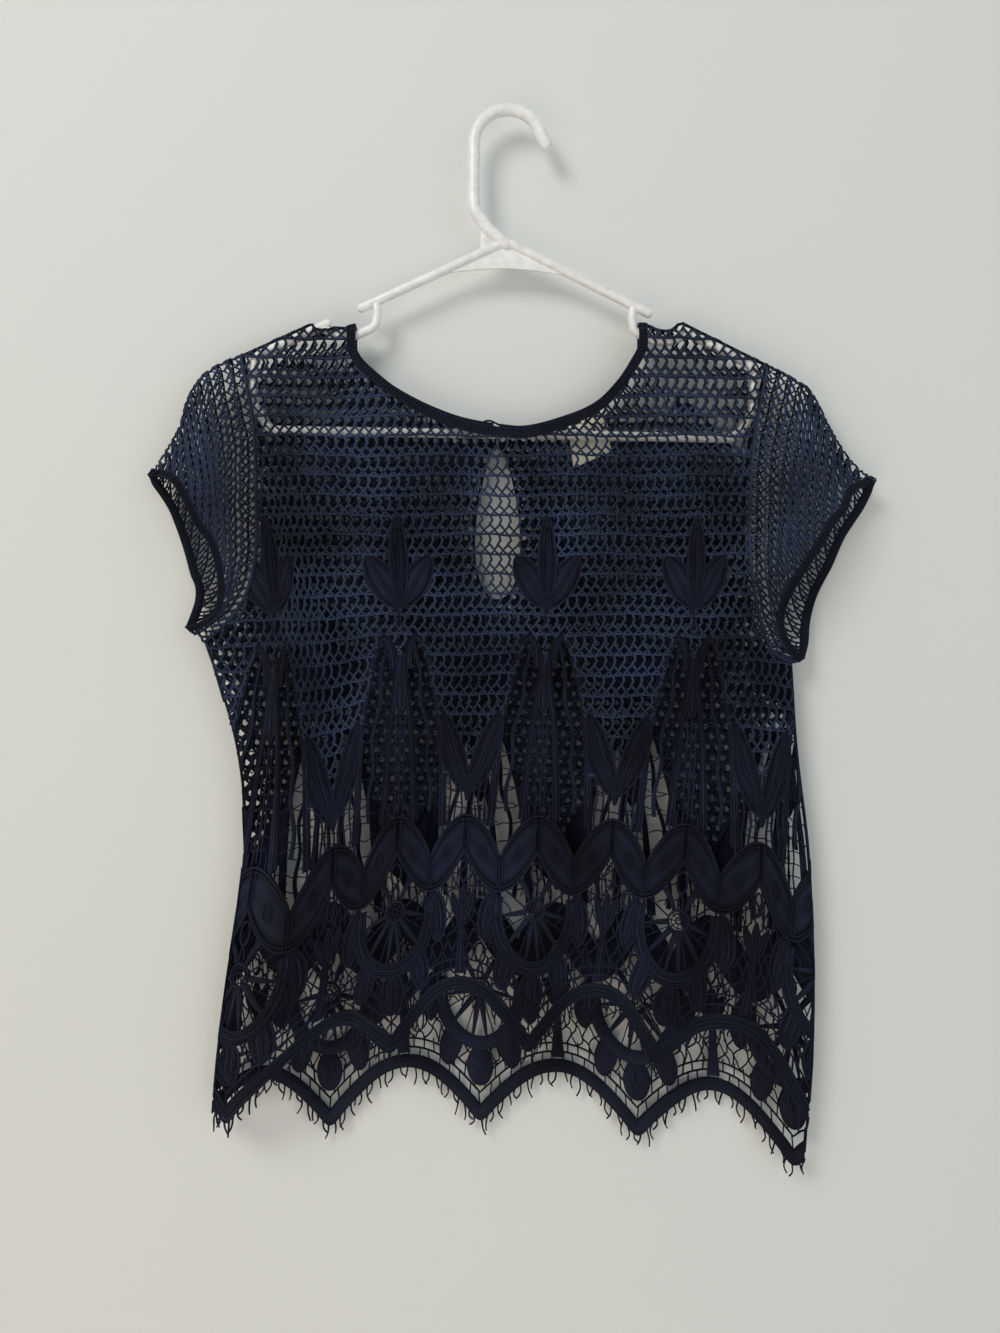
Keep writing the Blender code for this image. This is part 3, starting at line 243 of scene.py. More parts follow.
def inside(points, polygon):
    """Which of the flat points lie inside the polygon."""
    points, polygon = np.asarray(points, float), np.asarray(polygon, float)
    near = ((points >= polygon.min(axis=0)) & (points <= polygon.max(axis=0))).all(axis=1)
    x, y = points[near].T
    odd = np.zeros(len(x), bool)
    for (x0, y0), (x1, y1) in zip(polygon, np.roll(polygon, -1, axis=0)):
        if y0 == y1:
            continue
        crossed = (y0 > y) != (y1 > y)
        odd ^= crossed & (x < x0 + (y - y0) / (y1 - y0) * (x1 - x0))
    found = np.zeros(len(points), bool)
    found[near] = odd
    return found


# %% The drape
def arm_height(x):
    slope = np.where(x < APEX[0], math.tan(ARM_SLOPE - HANGER_TILT),
                     math.tan(ARM_SLOPE + HANGER_TILT))
    return APEX[1] - np.abs(x - APEX[0]) * slope


def roll_height(x):
    """Height of the line that the shoulders are rolled over."""
    x = np.asarray(x, float)
    height = np.where(np.abs(x) > 120, arm_height(x),
                      np.maximum(LEFT_ROLL[-1][1], arm_height(x) - 60))
    for table in (LEFT_ROLL, RIGHT_ROLL):
        here = (x > table[0][0]) & (x < table[-1][0])
        height = np.where(here, lookup(x, table), height)
    return height


def across_levels(h, values):
    total = 0.0
    for i, level in enumerate(LEVELS):
        share = 1.0
        for j, other in enumerate(LEVELS):
            if j != i:
                share = share * (h - other) / (level - other)
        total = total + share * values[i]
    return np.where(h >= LEVELS[0], values[0], total)


def hung_x(s, h, lines):
    """The world x of a flat place, before its folds."""
    return across_levels(h, [lookup(s, lines, column) for column in (1, 2, 3, 4)])


def fold_depth(s, h, folds):
    depth = np.zeros(np.broadcast(s, h).shape)
    for s_top, s_hem, half, at_hem, at_mid, end in folds:
        reach = np.abs(s - (s_hem + (s_top - s_hem) * h / end)) / half
        low = at_hem + (at_mid - at_hem) * h / 300
        if at_mid == 0:
            low = at_hem * ease((end - h) / end)
        size = np.where(h < 300, low, at_mid * ease((end - h) / (end - 299.999)))
        wave = np.cos(math.pi / 2 * np.minimum(reach, 1)) ** 2
        depth += np.where(h < end, size * wave, 0)
    return depth


def side_share(s, h, sides, reach):
    left_top, right_top = sides[0][-1][0], sides[1][-1][0]
    left = lookup(np.minimum(h, left_top), sides[0]) - np.maximum(0, h - left_top) * 0.6
    right = lookup(np.minimum(h, right_top), sides[1]) + np.maximum(0, h - right_top) * 0.6
    inward = np.minimum(s - left, right - s) / reach
    return 1 - (1 - np.clip(inward, 0, 1)) ** 2


def droop(h):
    return np.where(h < FADE, np.maximum(0, 1 - (h / FADE) ** 2) ** 1.5, 0)


def drape(s, h, low, lines, folds, sides, depths):
    """Where the inner face of the cloth hangs: x, distance from the middle plane, z."""
    x = hung_x(s, h, lines)
    roll = roll_height(x) - low
    turn = np.clip((h - roll) / ROLL, 0, math.radians(90))
    z = low + h - lookup(s, lines, 5) * droop(h)
    under, near = depths
    out = ROLL + (near - ROLL) * ease((roll - h) / 110)
    out = out + (under - near) * ease((400 - h) / 300) + fold_depth(s, h, folds)
    out = SEAM / 2 + (out - SEAM / 2) * side_share(s, h, sides, 62)
    over = h > roll
    return (x, np.where(over, ROLL * np.cos(turn), out),
            np.where(over, low + roll + ROLL_RISE * np.sin(turn), z))


def flat_place(x, z, low, lines):
    """The flat place (s, h) that hangs at world x and z."""
    x, z = np.asarray(x, float), np.asarray(z, float)
    h = z - low
    for _ in range(10):
        left = np.full(x.shape, lines[0][0] - 40.0)
        right = np.full(x.shape, lines[-1][0] + 40.0)
        for _ in range(26):
            s = (left + right) / 2
            less = hung_x(s, h, lines) < x
            left, right = np.where(less, s, left), np.where(less, right, s)
        h = z - low + lookup(s, lines, 5) * droop(h)
    return s, h


def side_tables():
    """The side edges of both panels: the back's hang exactly behind the front's."""
    found = []
    for rows, armhole in ((LEFT_SIDE, LEFT_ARMHOLE), (RIGHT_SIDE, RIGHT_ARMHOLE)):
        s, h = flat_place(*armhole[-1], FRONT_LOW, FRONT_LINES)
        edge = [*rows, (float(h), float(s))]
        behind = []
        for high in (0, 60, 120, 184, 250, float(h)):
            place = lookup(high, edge)
            x = hung_x(place, high, FRONT_LINES)
            z = FRONT_LOW + high - lookup(place, FRONT_LINES, 5) * droop(high)
            there = flat_place(x, z, BACK_LOW, BACK_LINES)
            behind.append((float(there[1]), float(there[0])))
        found.append((edge, behind))
    return (found[0][0], found[1][0]), (found[0][1], found[1][1])


FRONT_SIDES, BACK_SIDES = side_tables()


def front(s, h):
    x, out, z = drape(s, h, FRONT_LOW, FRONT_LINES, FRONT_FOLDS, FRONT_SIDES, FRONT_DEPTHS)
    return np.stack([x, -out, z], axis=-1) * MM


def back(s, h):
    x, out, z = drape(s, h, BACK_LOW, BACK_LINES, BACK_FOLDS, BACK_SIDES, BACK_DEPTHS)
    return np.stack([x, out, z], axis=-1) * MM


def square(vectors):
    return vectors / np.maximum(np.linalg.norm(vectors, axis=-1, keepdims=True), 1e-12)


def outward(place, s, h):
    """The direction square to the cloth, away from the inside of the top."""
    across = place(s + 0.5, h) - place(s - 0.5, h)
    up = place(s, h + 0.4) - place(s, h - 0.4)
    return square(np.cross(across, up)) * (1 if place is front else -1)


print("armpits at h", round(FRONT_SIDES[0][-1][0]), "and", round(FRONT_SIDES[1][-1][0]))


# %% [markdown]
# ## The cut of the two panels
#
# The lace has to stop at the neck, the armholes, the sides and the hem. The next cell
# builds each panel's flat outline from the same tables. Threads are cut off a little
# outside it, so that their ends lie under the bands that are sewn on.

# %% Outlines
def scallop(s, centre):
    """Height of the hem's lower edge: pointed scallops that end in a round knob."""
    aside = np.abs((s - centre + REPEAT / 2) % REPEAT - REPEAT / 2)
    wave = np.sqrt(np.sin(math.pi * aside / REPEAT) ** 2 + POINTED)
    rise = (wave - math.sqrt(POINTED)) / (math.sqrt(1 + POINTED) - math.sqrt(POINTED))
    return (SCALLOP - KNOB[1]) * rise + KNOB[1] * ease(aside / KNOB[0])


def raised_edge(s, centre, above):
    """Height of the curve that keeps this distance from the hem's lower edge."""
    turns = np.linspace(0, math.pi, 33)[:, None]
    reach = scallop(np.asarray(s, float)[None] + above * np.cos(turns), centre)
    return (reach + above * np.sin(turns)).max(axis=0)


def hem_line(sides, centre, above, step):
    """The hem from the left side edge to the right one, raised squarely by this much."""
    left, right = float(lookup(0, sides[0])), float(lookup(0, sides[1]))
    even = REPEAT / round(REPEAT / step)
    first, last = math.ceil((left - centre) / even), math.floor((right - centre) / even)
    s = np.array([left] + [centre + even * i for i in range(first, last + 1)] + [right])
    h = raised_edge(s, centre, above)
    keep = (s > lookup(h, sides[0]) + 0.5) & (s < lookup(h, sides[1]) - 0.5)
    middle = np.column_stack([s, h])[1:-1][keep[1:-1]]
    ends = [(float(lookup(h[i], side)), h[i])
            for i, side in ((0, sides[0]), (-1, sides[1]))]
    return np.vstack([ends[:1], middle, ends[1:]])


def neck_line(low, lift, inset, step=4.0):
    """The neck edge from its left top to its right top, in flat places."""
    middle, half = (NECK[0][0] + NECK[-1][0]) / 2, (NECK[-1][0] - NECK[0][0]) / 2
    raised = [(x, z + lift * (1 - ((x - middle) / half) ** 2) - low) for x, z in NECK]
    line = spaced(raised, step)
    return offset_line(line, inset) if inset else line


def over_roll(x, low, turn=88):
    """Flat height at a place x on the bend over the hanger."""
    return roll_height(x) - low + ROLL * math.radians(turn)


def armhole_line(side, low, lines, count=40):
    edge = LEFT_ARMHOLE if side < 0 else RIGHT_ARMHOLE
    x, z = along(edge, np.linspace(0, 1, count)).T
    return np.column_stack(flat_place(x, z, low, lines))


def notch_floor(low):
    """The height of the cloth's edge in the notch that the arm's stub pokes through."""
    return float(roll_height(STUB_NOTCH[0])) - low + 1


def keyhole_drop(low, turn):
    """The drop-shaped edge of the keyhole, at these turns round it from its top."""
    x, bottom, tall, half = KEYHOLE
    up = (1 + np.cos(turn)) / 2
    return np.column_stack([x + half * np.sin(turn) * (1.25 - 0.62 * up),
                            bottom - low + tall * up])


def panel_outline(low, lift, lines, sides, centre, keyhole=False):
    """The flat cut of a body panel, anticlockwise from the hem's left corner."""
    hem = hem_line(sides, centre, HEM_BAND_WIDE, 3)
    left_arm, right_arm = armhole_line(-1, low, lines), armhole_line(1, low, lines)
    right_h = np.linspace(hem[-1][1], right_arm[-1][1], 20)[1:-1]
    left_h = np.linspace(left_arm[-1][1], hem[0][1], 20)[1:-1]
    neck = neck_line(low, lift, NECK_BAND_WIDE)[::-1]
    right_x = np.linspace(RIGHT_ARMHOLE[0][0], neck[0][0], 60)
    notch = np.array(STUB_NOTCH)
    left_x = np.concatenate([np.linspace(neck[-1][0], notch[1], 20),
                             np.linspace(notch[0], LEFT_ARMHOLE[0][0], 30)])
    left_top = np.column_stack([left_x, over_roll(left_x, low)])
    under = notch_floor(low)
    left_top = np.vstack([left_top[:20], [(notch[1], under), (notch[0], under)],
                          left_top[20:]])
    if keyhole:
        x = KEYHOLE[0]
        drop = keyhole_drop(low, np.linspace(0, 2 * math.pi, 60)[2:-2])
        right_part = neck[neck[:, 0] > x + 1]
        left_part = neck[neck[:, 0] < x - 1]
        slit = KEYHOLE_SLIT / 2
        neck = np.vstack([right_part, [(x + slit, right_part[-1][1])], drop,
                          [(x - slit, left_part[0][1])], left_part])
    return np.vstack([
        hem, np.column_stack([lookup(right_h, sides[1]), right_h]), right_arm[::-1],
        np.column_stack([right_x, over_roll(right_x, low)]), neck, left_top, left_arm,
        np.column_stack([lookup(left_h, sides[0]), left_h])])


class Panel:
    """One body panel: its hang, its cut, and the places of its pattern repeats."""

    def __init__(self, name, place, low, lift, lines, sides, repeats, keyhole):
        self.name, self.place, self.low, self.lift = name, place, low, lift
        self.sides, self.repeats, self.lines = sides, repeats, lines
        self.outline = panel_outline(low, lift, lines, sides, repeats[2], keyhole)


FRONT = Panel("front_panel", front, FRONT_LOW, 0, FRONT_LINES, FRONT_SIDES,
              FRONT_REPEATS, False)
BACK = Panel("back_panel", back, BACK_LOW, BACK_NECK_LIFT, BACK_LINES, BACK_SIDES,
             BACK_REPEATS, True)
for panel in (FRONT, BACK):
    print(panel.name, "cut", np.ptp(panel.outline, axis=0).round())

# %% [markdown]
# ## Camera, wall and light
#
# The camera stands a little to the left of the top and level with its middle. The wall
# behind has one side only: it can be seen from the front, and from behind it is clear, so
# that the back of the top can be looked at too. Soft light from the upper left and a weak
# fill give the threads their edges.

# %% Camera
FOCAL = 1001.6                 # focal length in pixels of a picture 1000 x 1333
camera_data = bpy.data.cameras.new("camera")
camera_data.sensor_width = 36
camera_data.sensor_fit = "AUTO"
camera_data.lens = 36 * FOCAL / 1333
camera = bpy.data.objects.new("camera", camera_data)
bpy.context.scene.collection.objects.link(camera)
camera.location = (-0.0056, -0.801, -0.4384)
camera.rotation_euler = (math.pi / 2, 0, 0)
camera_data.clip_start = 0.01
bpy.context.scene.camera = camera
print("lens", round(camera_data.lens, 2), "mm")


# %% Colours and nodes
def rgb(hex_code):
    """An sRGB colour such as 1c1d27 as linear light."""
    values = [int(hex_code[i:i + 2], 16) / 255 for i in (0, 2, 4)]
    return (*[v / 12.92 if v <= 0.04045 else ((v + 0.055) / 1.055) ** 2.4
              for v in values], 1)


def new_material(name):
    made = bpy.data.materials.new(name)
    made.use_nodes = True
    return made, made.node_tree.nodes["Principled BSDF"]


def add_node(owner, kind, settings=(), **links):
    """A node with its settings, and its inputs set or linked by name."""
    made = owner.node_tree.nodes.new(kind)
    for key, value in dict(settings).items():
        setattr(made, key, value)
    for name, value in links.items():
        entry = made.inputs[int(name[1:])] if name[0] == "_" else \
            made.inputs[name.replace("_", " ")]
        if isinstance(value, bpy.types.NodeSocket):
            owner.node_tree.links.new(value, entry)
        else:
            entry.default_value = value
    return made


def ramp_of(owner, factor, dark, light, ends=(0.0, 1.0)):
    """A blend between two colours, driven by one value."""
    made = add_node(owner, "ShaderNodeValToRGB", _0=factor)
    for point, colour, place in zip(made.color_ramp.elements, (dark, light), ends):
        point.position = place
        point.color = rgb(colour)
    return made


def wire_up(owner, shader, colour, bump=None, **numbers):
    """Links a colour and a bump to the shader, and sets its numbers by name."""
    owner.node_tree.links.new(colour.outputs[0], shader.inputs["Base Color"])
    if bump:
        owner.node_tree.links.new(bump.outputs[0], shader.inputs["Normal"])
    for name, value in numbers.items():
        shader.inputs[name.replace("_", " ")].default_value = value


def select_only(*objects):
    bpy.ops.object.select_all(action="DESELECT")
    for one in objects:
        one.select_set(True)
    bpy.context.view_layer.objects.active = objects[0]


# %% Wall and floor
def stage_sheet(name, corners, finish):
    mesh = bpy.data.meshes.new(name)
    mesh.from_pydata(corners, [], [(0, 1, 2, 3)])
    mesh.materials.append(finish)
    made = bpy.data.objects.new(name, mesh)
    bpy.context.scene.collection.objects.link(made)
    made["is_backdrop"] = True
    return made


plaster, shader = new_material("painted_plaster_wall")
shader.inputs["Base Color"].default_value = rgb("d0d3cf")
shader.inputs["Roughness"].default_value = 0.92
# seen from behind, and for the lamp behind, the wall is not there
facing = add_node(plaster, "ShaderNodeNewGeometry")
ray = add_node(plaster, "ShaderNodeLightPath")
absent = add_node(plaster, "ShaderNodeMath", {"operation": "MAXIMUM"},
                  _0=facing.outputs["Backfacing"], _1=ray.outputs["Is Shadow Ray"])
clear = add_node(plaster, "ShaderNodeBsdfTransparent")
one_side = add_node(plaster, "ShaderNodeMixShader", _0=absent.outputs[0],
                    _1=shader.outputs[0], _2=clear.outputs[0])
plaster.node_tree.links.new(one_side.outputs[0],
                            plaster.node_tree.nodes["Material Output"].inputs[0])
WALL_Y = 0.021
stage_sheet("wall", [(-3, WALL_Y, -2.2), (3, WALL_Y, -2.2), (3, WALL_Y, 1.6),
                     (-3, WALL_Y, 1.6)], plaster)
floor_paint, shader = new_material("painted_floor")
shader.inputs["Base Color"].default_value = rgb("d9dbd8")
shader.inputs["Roughness"].default_value = 0.8
stage_sheet("floor", [(-3, -4, -2.2), (3, -4, -2.2), (3, 4, -2.2), (-3, 4, -2.2)],
            floor_paint)


# %% Lights
def soft_light(name, place, aim, size, power, colour):
    data = bpy.data.lights.new(name, "AREA")
    data.shape = "SQUARE"
    data.size = size
    data.energy = power
    data.color = rgb(colour)[:3]
    made = bpy.data.objects.new(name, data)
    bpy.context.scene.collection.objects.link(made)
    made.location = place
    made.rotation_euler = (Vector(aim) - Vector(place)).to_track_quat("-Z", "Y").to_euler()
    return made


soft_light("window", (-1.5, -2.1, 1.3), (0, 0, -0.4), 1.2, 45, "fffaf4")
soft_light("fill", (1.9, -2.2, -0.3), (0, 0, -0.45), 2.2, 13, "eef4ff")
soft_light("floor_bounce", (-0.9, -1.9, -1.9), (-0.1, 0, -0.8), 1.6, 17, "ffd6b4")
soft_light("behind", (0.8, 2.6, 0.6), (0, 0, -0.4), 2.0, 40, "f6f8ff")
world = bpy.data.worlds.new("studio")
bpy.context.scene.world = world
world.use_nodes = True
world.node_tree.nodes["Background"].inputs[0].default_value = rgb("e8eef2")
world.node_tree.nodes["Background"].inputs[1].default_value = 0.55
bpy.context.scene.view_settings.view_transform = "Standard"

# %% [markdown]
# ## The thread
#
# The top is made of mercerised cotton: black, dyed in the yarn, with a soft sheen along
# each thread and almost none across it. Each thread is a tube whose own map runs in
# centimetres along it and once round it, so a diagonal wave on that map becomes the twist
# of the yarn. The dense leaves carry a second pattern: rows of small tight stitches.


# %% Cotton
def cotton(name, deep, lit, row_scale, relief, rows=0.0):
    """Mercerised cotton thread, twisted and hooked: dull black with a fine sheen, with
    painted shade in its hollows. rows draws lines of stitches that follow a leaf's outline."""
    made, shader = new_material(name)
    place = add_node(made, "ShaderNodeTexCoord")
    own = add_node(made, "ShaderNodeUVMap", {"uv_map": "thread"})
    # dye is never quite even over a garment: broad patches a hand wide
    patches = add_node(made, "ShaderNodeTexNoise", Vector=place.outputs["Object"],
                       Scale=14.0, Detail=2.0)
    fibres = add_node(made, "ShaderNodeTexNoise", Vector=place.outputs["Object"],
                      Scale=900.0, Detail=3.0)
    both = add_node(made, "ShaderNodeMath", {"operation": "MULTIPLY_ADD"},
                    _0=fibres.outputs[0], _1=0.55, _2=patches.outputs[0])
    ramp = ramp_of(made, both.outputs[0], deep, lit, (0.55, 0.95))
    # yarn twist: one turn in about 1.6 mm, drawn coarse enough to show
    twist = add_node(made, "ShaderNodeTexWave", {"bands_direction": "DIAGONAL"},
                     Vector=own.outputs[0], Scale=row_scale, Distortion=1.5, Detail=2.0)
    line = add_node(made, "ShaderNodeTexWave", {"bands_direction": "Y"},
                    Vector=own.outputs[0], Scale=1.55, Distortion=0.9, Detail=1.0)
    weave = add_node(made, "ShaderNodeMix", _0=rows, _2=twist.outputs["Fac"],
                     _3=line.outputs["Fac"])
    bump = add_node(made, "ShaderNodeBump", Height=weave.outputs[0], Strength=relief,
                    Distance=0.0009)
    # painted shade: the colour is darkened in the hollows between cords, by the rise
    # attribute, and in those between the twists, where less light falls
    rise = add_node(made, "ShaderNodeAttribute", {"attribute_name": "rise"})
    painted_shade = add_node(made, "ShaderNodeMapRange", Value=rise.outputs["Fac"])
    painted_shade.inputs["To Min"].default_value = 0.1
    painted_shade.inputs["To Max"].default_value = 1.5
    painted_twist_shade = add_node(made, "ShaderNodeMath", {"operation": "MULTIPLY_ADD"},
                      _0=weave.outputs[0], _1=1.5, _2=0.22)
    share = add_node(made, "ShaderNodeMath", {"operation": "MULTIPLY"},
                     _0=painted_shade.outputs[0], _1=painted_twist_shade.outputs[0])
    tone = add_node(made, "ShaderNodeVectorMath", {"operation": "SCALE"},
                    _0=ramp.outputs[0], Scale=share.outputs[0])
    wire_up(made, shader, tone, bump, Roughness=0.72, Specular_IOR_Level=0.14,
            Sheen_Weight=0.06, Sheen_Roughness=0.45, Sheen_Tint=rgb("8088a8"))
    return made


KNIT_COTTON = cotton("cotton_knit_thread", "0e131f", "2a354c", 4.0, 0.5)
LEAF_COTTON = cotton("cotton_worked_solid", "070912", "191d32", 4.5, 1.0, rows=0.7)
BAND_COTTON = cotton("cotton_ribbed_band", "0a0d16", "1d2132", 5.0, 0.8)


# %% [markdown]
# ## Drawing with threads and leaves
#
# Two shapes make the whole lace: a thread, which is a tube along a line, and a leaf or
# band, which is a crowned strip between two edge lines. Both are drawn flat, for many
# copies at once, and are hung by the panel's drape. Each closes at its ends.

# %% Lace builder
class Lace:
    """Collects threads and leaves that are hung by one place function."""

    def __init__(self, place, facing):
        self.place, self.facing = place, facing
        self.verts, self.quads, self.caps, self.maps, self.rise = [], [], [], [], []
        self.count = 0

    def rings(self, points, maps, rise):
        """Closed tubes: points (copies, steps, round, 3), maps the same with 2. rise is
        painted
        shade from 0 to 1: how far each point stands out of the cloth, and so how lit it is."""
        self.rise.append(np.broadcast_to(rise, points.shape[:3]).ravel())
        copies, steps, sides = points.shape[:3]
        index = np.arange(copies * steps * sides).reshape(copies, steps, sides) + self.count
        near, far = index[:, :-1], index[:, 1:]
        quads = np.stack([near, np.roll(near, -1, 2), np.roll(far, -1, 2), far], axis=-1)
        self.quads.append(quads.reshape(-1, 4))
        turned = np.roll(maps, -1, 2).copy()
        turned[:, :, -1, 1] = maps[:, :, -1, 1] + (maps[:, :, 1, 1] - maps[:, :, 0, 1])
        self.maps.append(np.stack([maps[:, :-1], turned[:, :-1], turned[:, 1:],
                                   maps[:, 1:]], axis=-2).reshape(-1, 2))
        self.caps += index[:, 0, ::-1].tolist() + index[:, -1].tolist()
        self.verts.append(points.reshape(-1, 3))
        self.count += copies * steps * sides

    def threads(self, lines, radius, lift=0.8, sides=4):
        """Tubes along flat lines (copies, steps, 2), or 3 with a lift of their own."""
        lines = np.asarray(lines, float)
        if not len(lines):
            return
        s, h = lines[..., 0], lines[..., 1]
        middle, normal = self.place(s, h), self.facing(s, h)
        lifts = lines[..., 2] if lines.shape[-1] > 2 else lift
        middle = middle + normal * (np.broadcast_to(lifts, s.shape) * MM)[..., None]
        aim = square(np.gradient(middle, axis=1))
        across = square(np.cross(aim, normal))
        normal = np.cross(across, aim)
        turn = 2 * math.pi * np.arange(sides) / sides + math.pi / 4
        size = np.broadcast_to(np.asarray(radius, float), s.shape) * MM
        ring = (across[..., None, :] * np.cos(turn)[:, None]
                + normal[..., None, :] * np.sin(turn)[:, None])
        points = middle[..., None, :] + ring * size[..., None, None]
        steps = np.linalg.norm(np.diff(middle, axis=1), axis=2)
        reach = np.concatenate([np.zeros((len(s), 1)), np.cumsum(steps, axis=1)], axis=1)
        maps = np.zeros((*s.shape, sides, 2))
        maps[..., 0] = reach[..., None] * 100
        maps[..., 1] = np.arange(sides) / sides
        # painted shade: each tube is lighter on the side that faces out of the cloth and
        # darker on the side that faces in
        self.rings(points, maps, 0.62 + 0.38 * np.sin(turn))

    def strips(self, one_edge, other_edge, profile, lift=0.2, under=0.0):
        """Crowned strips between two flat edge lines. profile holds (place across, from
        -1 to 1, height in mm) rows."""
        a, b = np.asarray(one_edge, float), np.asarray(other_edge, float)
        share = np.array([(row[0] + 1) / 2 for row in profile])
        rise = np.array([row[1] for row in profile]) + lift
        flat = a[:, :, None] * (1 - share)[:, None] + b[:, :, None] * share[:, None]
        ends = np.stack([b, a], axis=2)
        flat = np.concatenate([flat, ends], axis=2)
        rise = np.concatenate([rise, [under, under]])
        middle = self.place(flat[..., 0], flat[..., 1])
        normal = self.facing(flat[..., 0], flat[..., 1])
        points = middle + normal * (rise * MM)[:, None]
        long = np.linalg.norm(np.diff((a + b) / 2, axis=1), axis=2)
        long = np.concatenate([np.zeros((len(a), 1)), np.cumsum(long, axis=1)], axis=1)
        wide = np.linalg.norm(b - a, axis=2).max()
        across = np.concatenate([share, [1, 0]]) * wide / 10
        maps = np.stack(np.broadcast_arrays(long[:, :, None] / 10, across), axis=-1)
        probe = np.cross(points[0, 1, 1] - points[0, 1, 0],
                         points[0, 2, 1] - points[0, 1, 1])
        # painted shade: the low parts of the crown, and the strip's sides, are given a
        # darker colour
        painted_shade = np.clip((rise - lift) / 1.5, 0, 1)
        painted_shade[-2:] = 0.7
        if np.dot(probe, normal[0, 1, 1]) > 0:
            points, maps, painted_shade = points[:, :, ::-1], maps[:, :, ::-1], painted_shade[::-1]
        self.rings(points, maps, painted_shade)

    def build(self, name, finish, replaces=(), slot="black_lace"):
        """One mesh object of all that was drawn, riding on the top."""
        verts = np.concatenate(self.verts)
        quads = np.concatenate(self.quads)
        mesh = bpy.data.meshes.new(name)
        corners = np.concatenate([quads.reshape(-1), np.array(
            [i for cap in self.caps for i in cap], int)])
        sizes = np.concatenate([np.full(len(quads), 4), [len(cap) for cap in self.caps]])
        mesh.vertices.add(len(verts))
        mesh.vertices.foreach_set("co", verts.astype(np.float32).ravel())
        mesh.loops.add(len(corners))
        mesh.loops.foreach_set("vertex_index", corners.astype(np.int32))
        mesh.polygons.add(len(sizes))
        starts = np.concatenate([[0], np.cumsum(sizes)[:-1]])
        mesh.polygons.foreach_set("loop_start", starts.astype(np.int32))
        mesh.update(calc_edges=True)
        own = mesh.uv_layers.new(name="thread")
        found = np.concatenate(self.maps)
        found = np.vstack([found, np.zeros((len(corners) - len(found), 2))])
        own.data.foreach_set("uv", found.astype(np.float32).ravel())
        # the rise attribute holds painted shade, which darkens the cotton's colour
        rise = mesh.attributes.new("rise", "FLOAT", "POINT")
        rise.data.foreach_set("value", np.concatenate(self.rise).astype(np.float32))
        mesh.polygons.foreach_set("use_smooth", np.ones(len(sizes), bool))
        mesh.materials.append(finish)
        made = bpy.data.objects.new(name, mesh)
        bpy.context.scene.collection.objects.link(made)
        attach(made, "root")
        if replaces:
            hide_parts(*replaces)
        print(name, "triangles", int((sizes - 2).sum()))
        return made


def panel_lace(panel):
    """A drawing board for a panel. Past its side edges and its armholes, the lace is
    folded to the edge."""
    edges = []
    for k, side in enumerate((-1, 1)):
        above = armhole_line(side, panel.low, panel.lines)[::-1, ::-1]
        below = np.array([row for row in panel.sides[k] if row[0] < above[0][0] - 0.5])
        edges.append(np.vstack([below, above]))

    def held(s, h):
        left = np.interp(h, edges[0][:, 0], edges[0][:, 1]) + 0.6
        right = np.interp(h, edges[1][:, 0], edges[1][:, 1]) - 0.6
        return np.clip(s, left, right)

    return Lace(lambda s, h: panel.place(held(s, h), h),
                lambda s, h: outward(panel.place, held(s, h), h))


def on_panel(panel, lines):
    """The lines of a batch that lie at least partly on the panel."""
    lines = np.asarray(lines, float)
    here = inside(lines[..., :2].reshape(-1, 2), panel.outline).reshape(lines.shape[:2])
    return lines[here.any(axis=1)]


# %% [markdown]
# ## The open knit
#
# The upper half is a net of one repeated cell: a thread that runs across, a stitch that
# hangs from it, and two legs that part below it and meet again at the next thread. The
# parting legs leave a small diamond under each stitch and a tall opening between two
# stitches. The cell is drawn once and copied. It comes out a little uneven, as it does by
# hand, and what crosses an edge or a leaf is trimmed.

# %% Knit cell
PITCH = 7.9                    # from stitch to stitch
ROW = 15.7                     # from one cross thread to the next
STITCH = ((0, 0), (0.2, -0.26), (-0.1, -0.52))
LEG = ((0, -0.5), (0.26, -0.64), (0.5, -0.77), (0.3, -0.9), (0.0, -1.0))


def uneven(s, h):
    """Small slow shifts of the net, so that no two cells are quite alike."""
    return np.stack([
        s + 0.7 * np.sin(h / 9.1 + 1.3 * np.sin(s / 23)) + 0.5 * np.sin(s / 5.3 + h / 3.7),
        h + 0.9 * np.sin(s / 17 + h / 41) + 0.4 * np.sin(s / 4.1 - h / 6.3)], axis=-1)


def trimmed(lines, wanted):
    """Lines cut back to where wanted(points) holds. Each run keeps the same steps."""
    held = wanted(lines.reshape(-1, 2)).reshape(lines.shape[:2])
    whole = lines[held.all(axis=1)]
    runs = []
    steps = lines.shape[1]
    for line in lines[held.any(axis=1) & ~held.all(axis=1)]:
        fine = np.linspace(0, steps - 1, 8 * steps)
        dense = np.column_stack([np.interp(fine, range(steps), line[:, k]) for k in (0, 1)])
        ok = wanted(dense)
        edges = np.flatnonzero(np.diff(np.concatenate([[0], ok.astype(int), [0]])))
        for start, end in edges.reshape(-1, 2):
            if end - start > 3:
                pick = np.linspace(start, end - 1, steps)
                runs.append(np.column_stack([np.interp(pick, range(len(dense)), dense[:, k])
                                             for k in (0, 1)]))
    return np.concatenate([whole, np.array(runs)]) if runs else whole


def knit_lines(low_s, high_s, low_h, high_h, pitch=PITCH, row=ROW):
    """Flat lines of the net over a rectangle: cross threads, stitches and legs."""
    columns = np.arange(low_s, high_s, pitch)
    rows = np.arange(low_h, high_h, row)
    s, h = [grid.reshape(-1, 1) for grid in np.meshgrid(columns, rows)]
    stitch, leg = np.array(STITCH), np.array(LEG)
    batches = [uneven(s + stitch[:, 0] * pitch, h + stitch[:, 1] * row)]
    for side in (-1, 1):
        batches.append(uneven(s + side * leg[:, 0] * pitch, h + leg[:, 1] * row))
    across = np.linspace(0, 1, 4)
    crossing = uneven(s + across * pitch, h + 0 * across)
    return batches, crossing


# %% [markdown]
# ### The outlines that the knit is cut away from
#
# The worked motifs take the knit's place, so their outlines are needed before the knit is
# drawn over a panel. A place is (distance from the repeat's middle, height), and a leaf is
# a middle line with its greatest width.

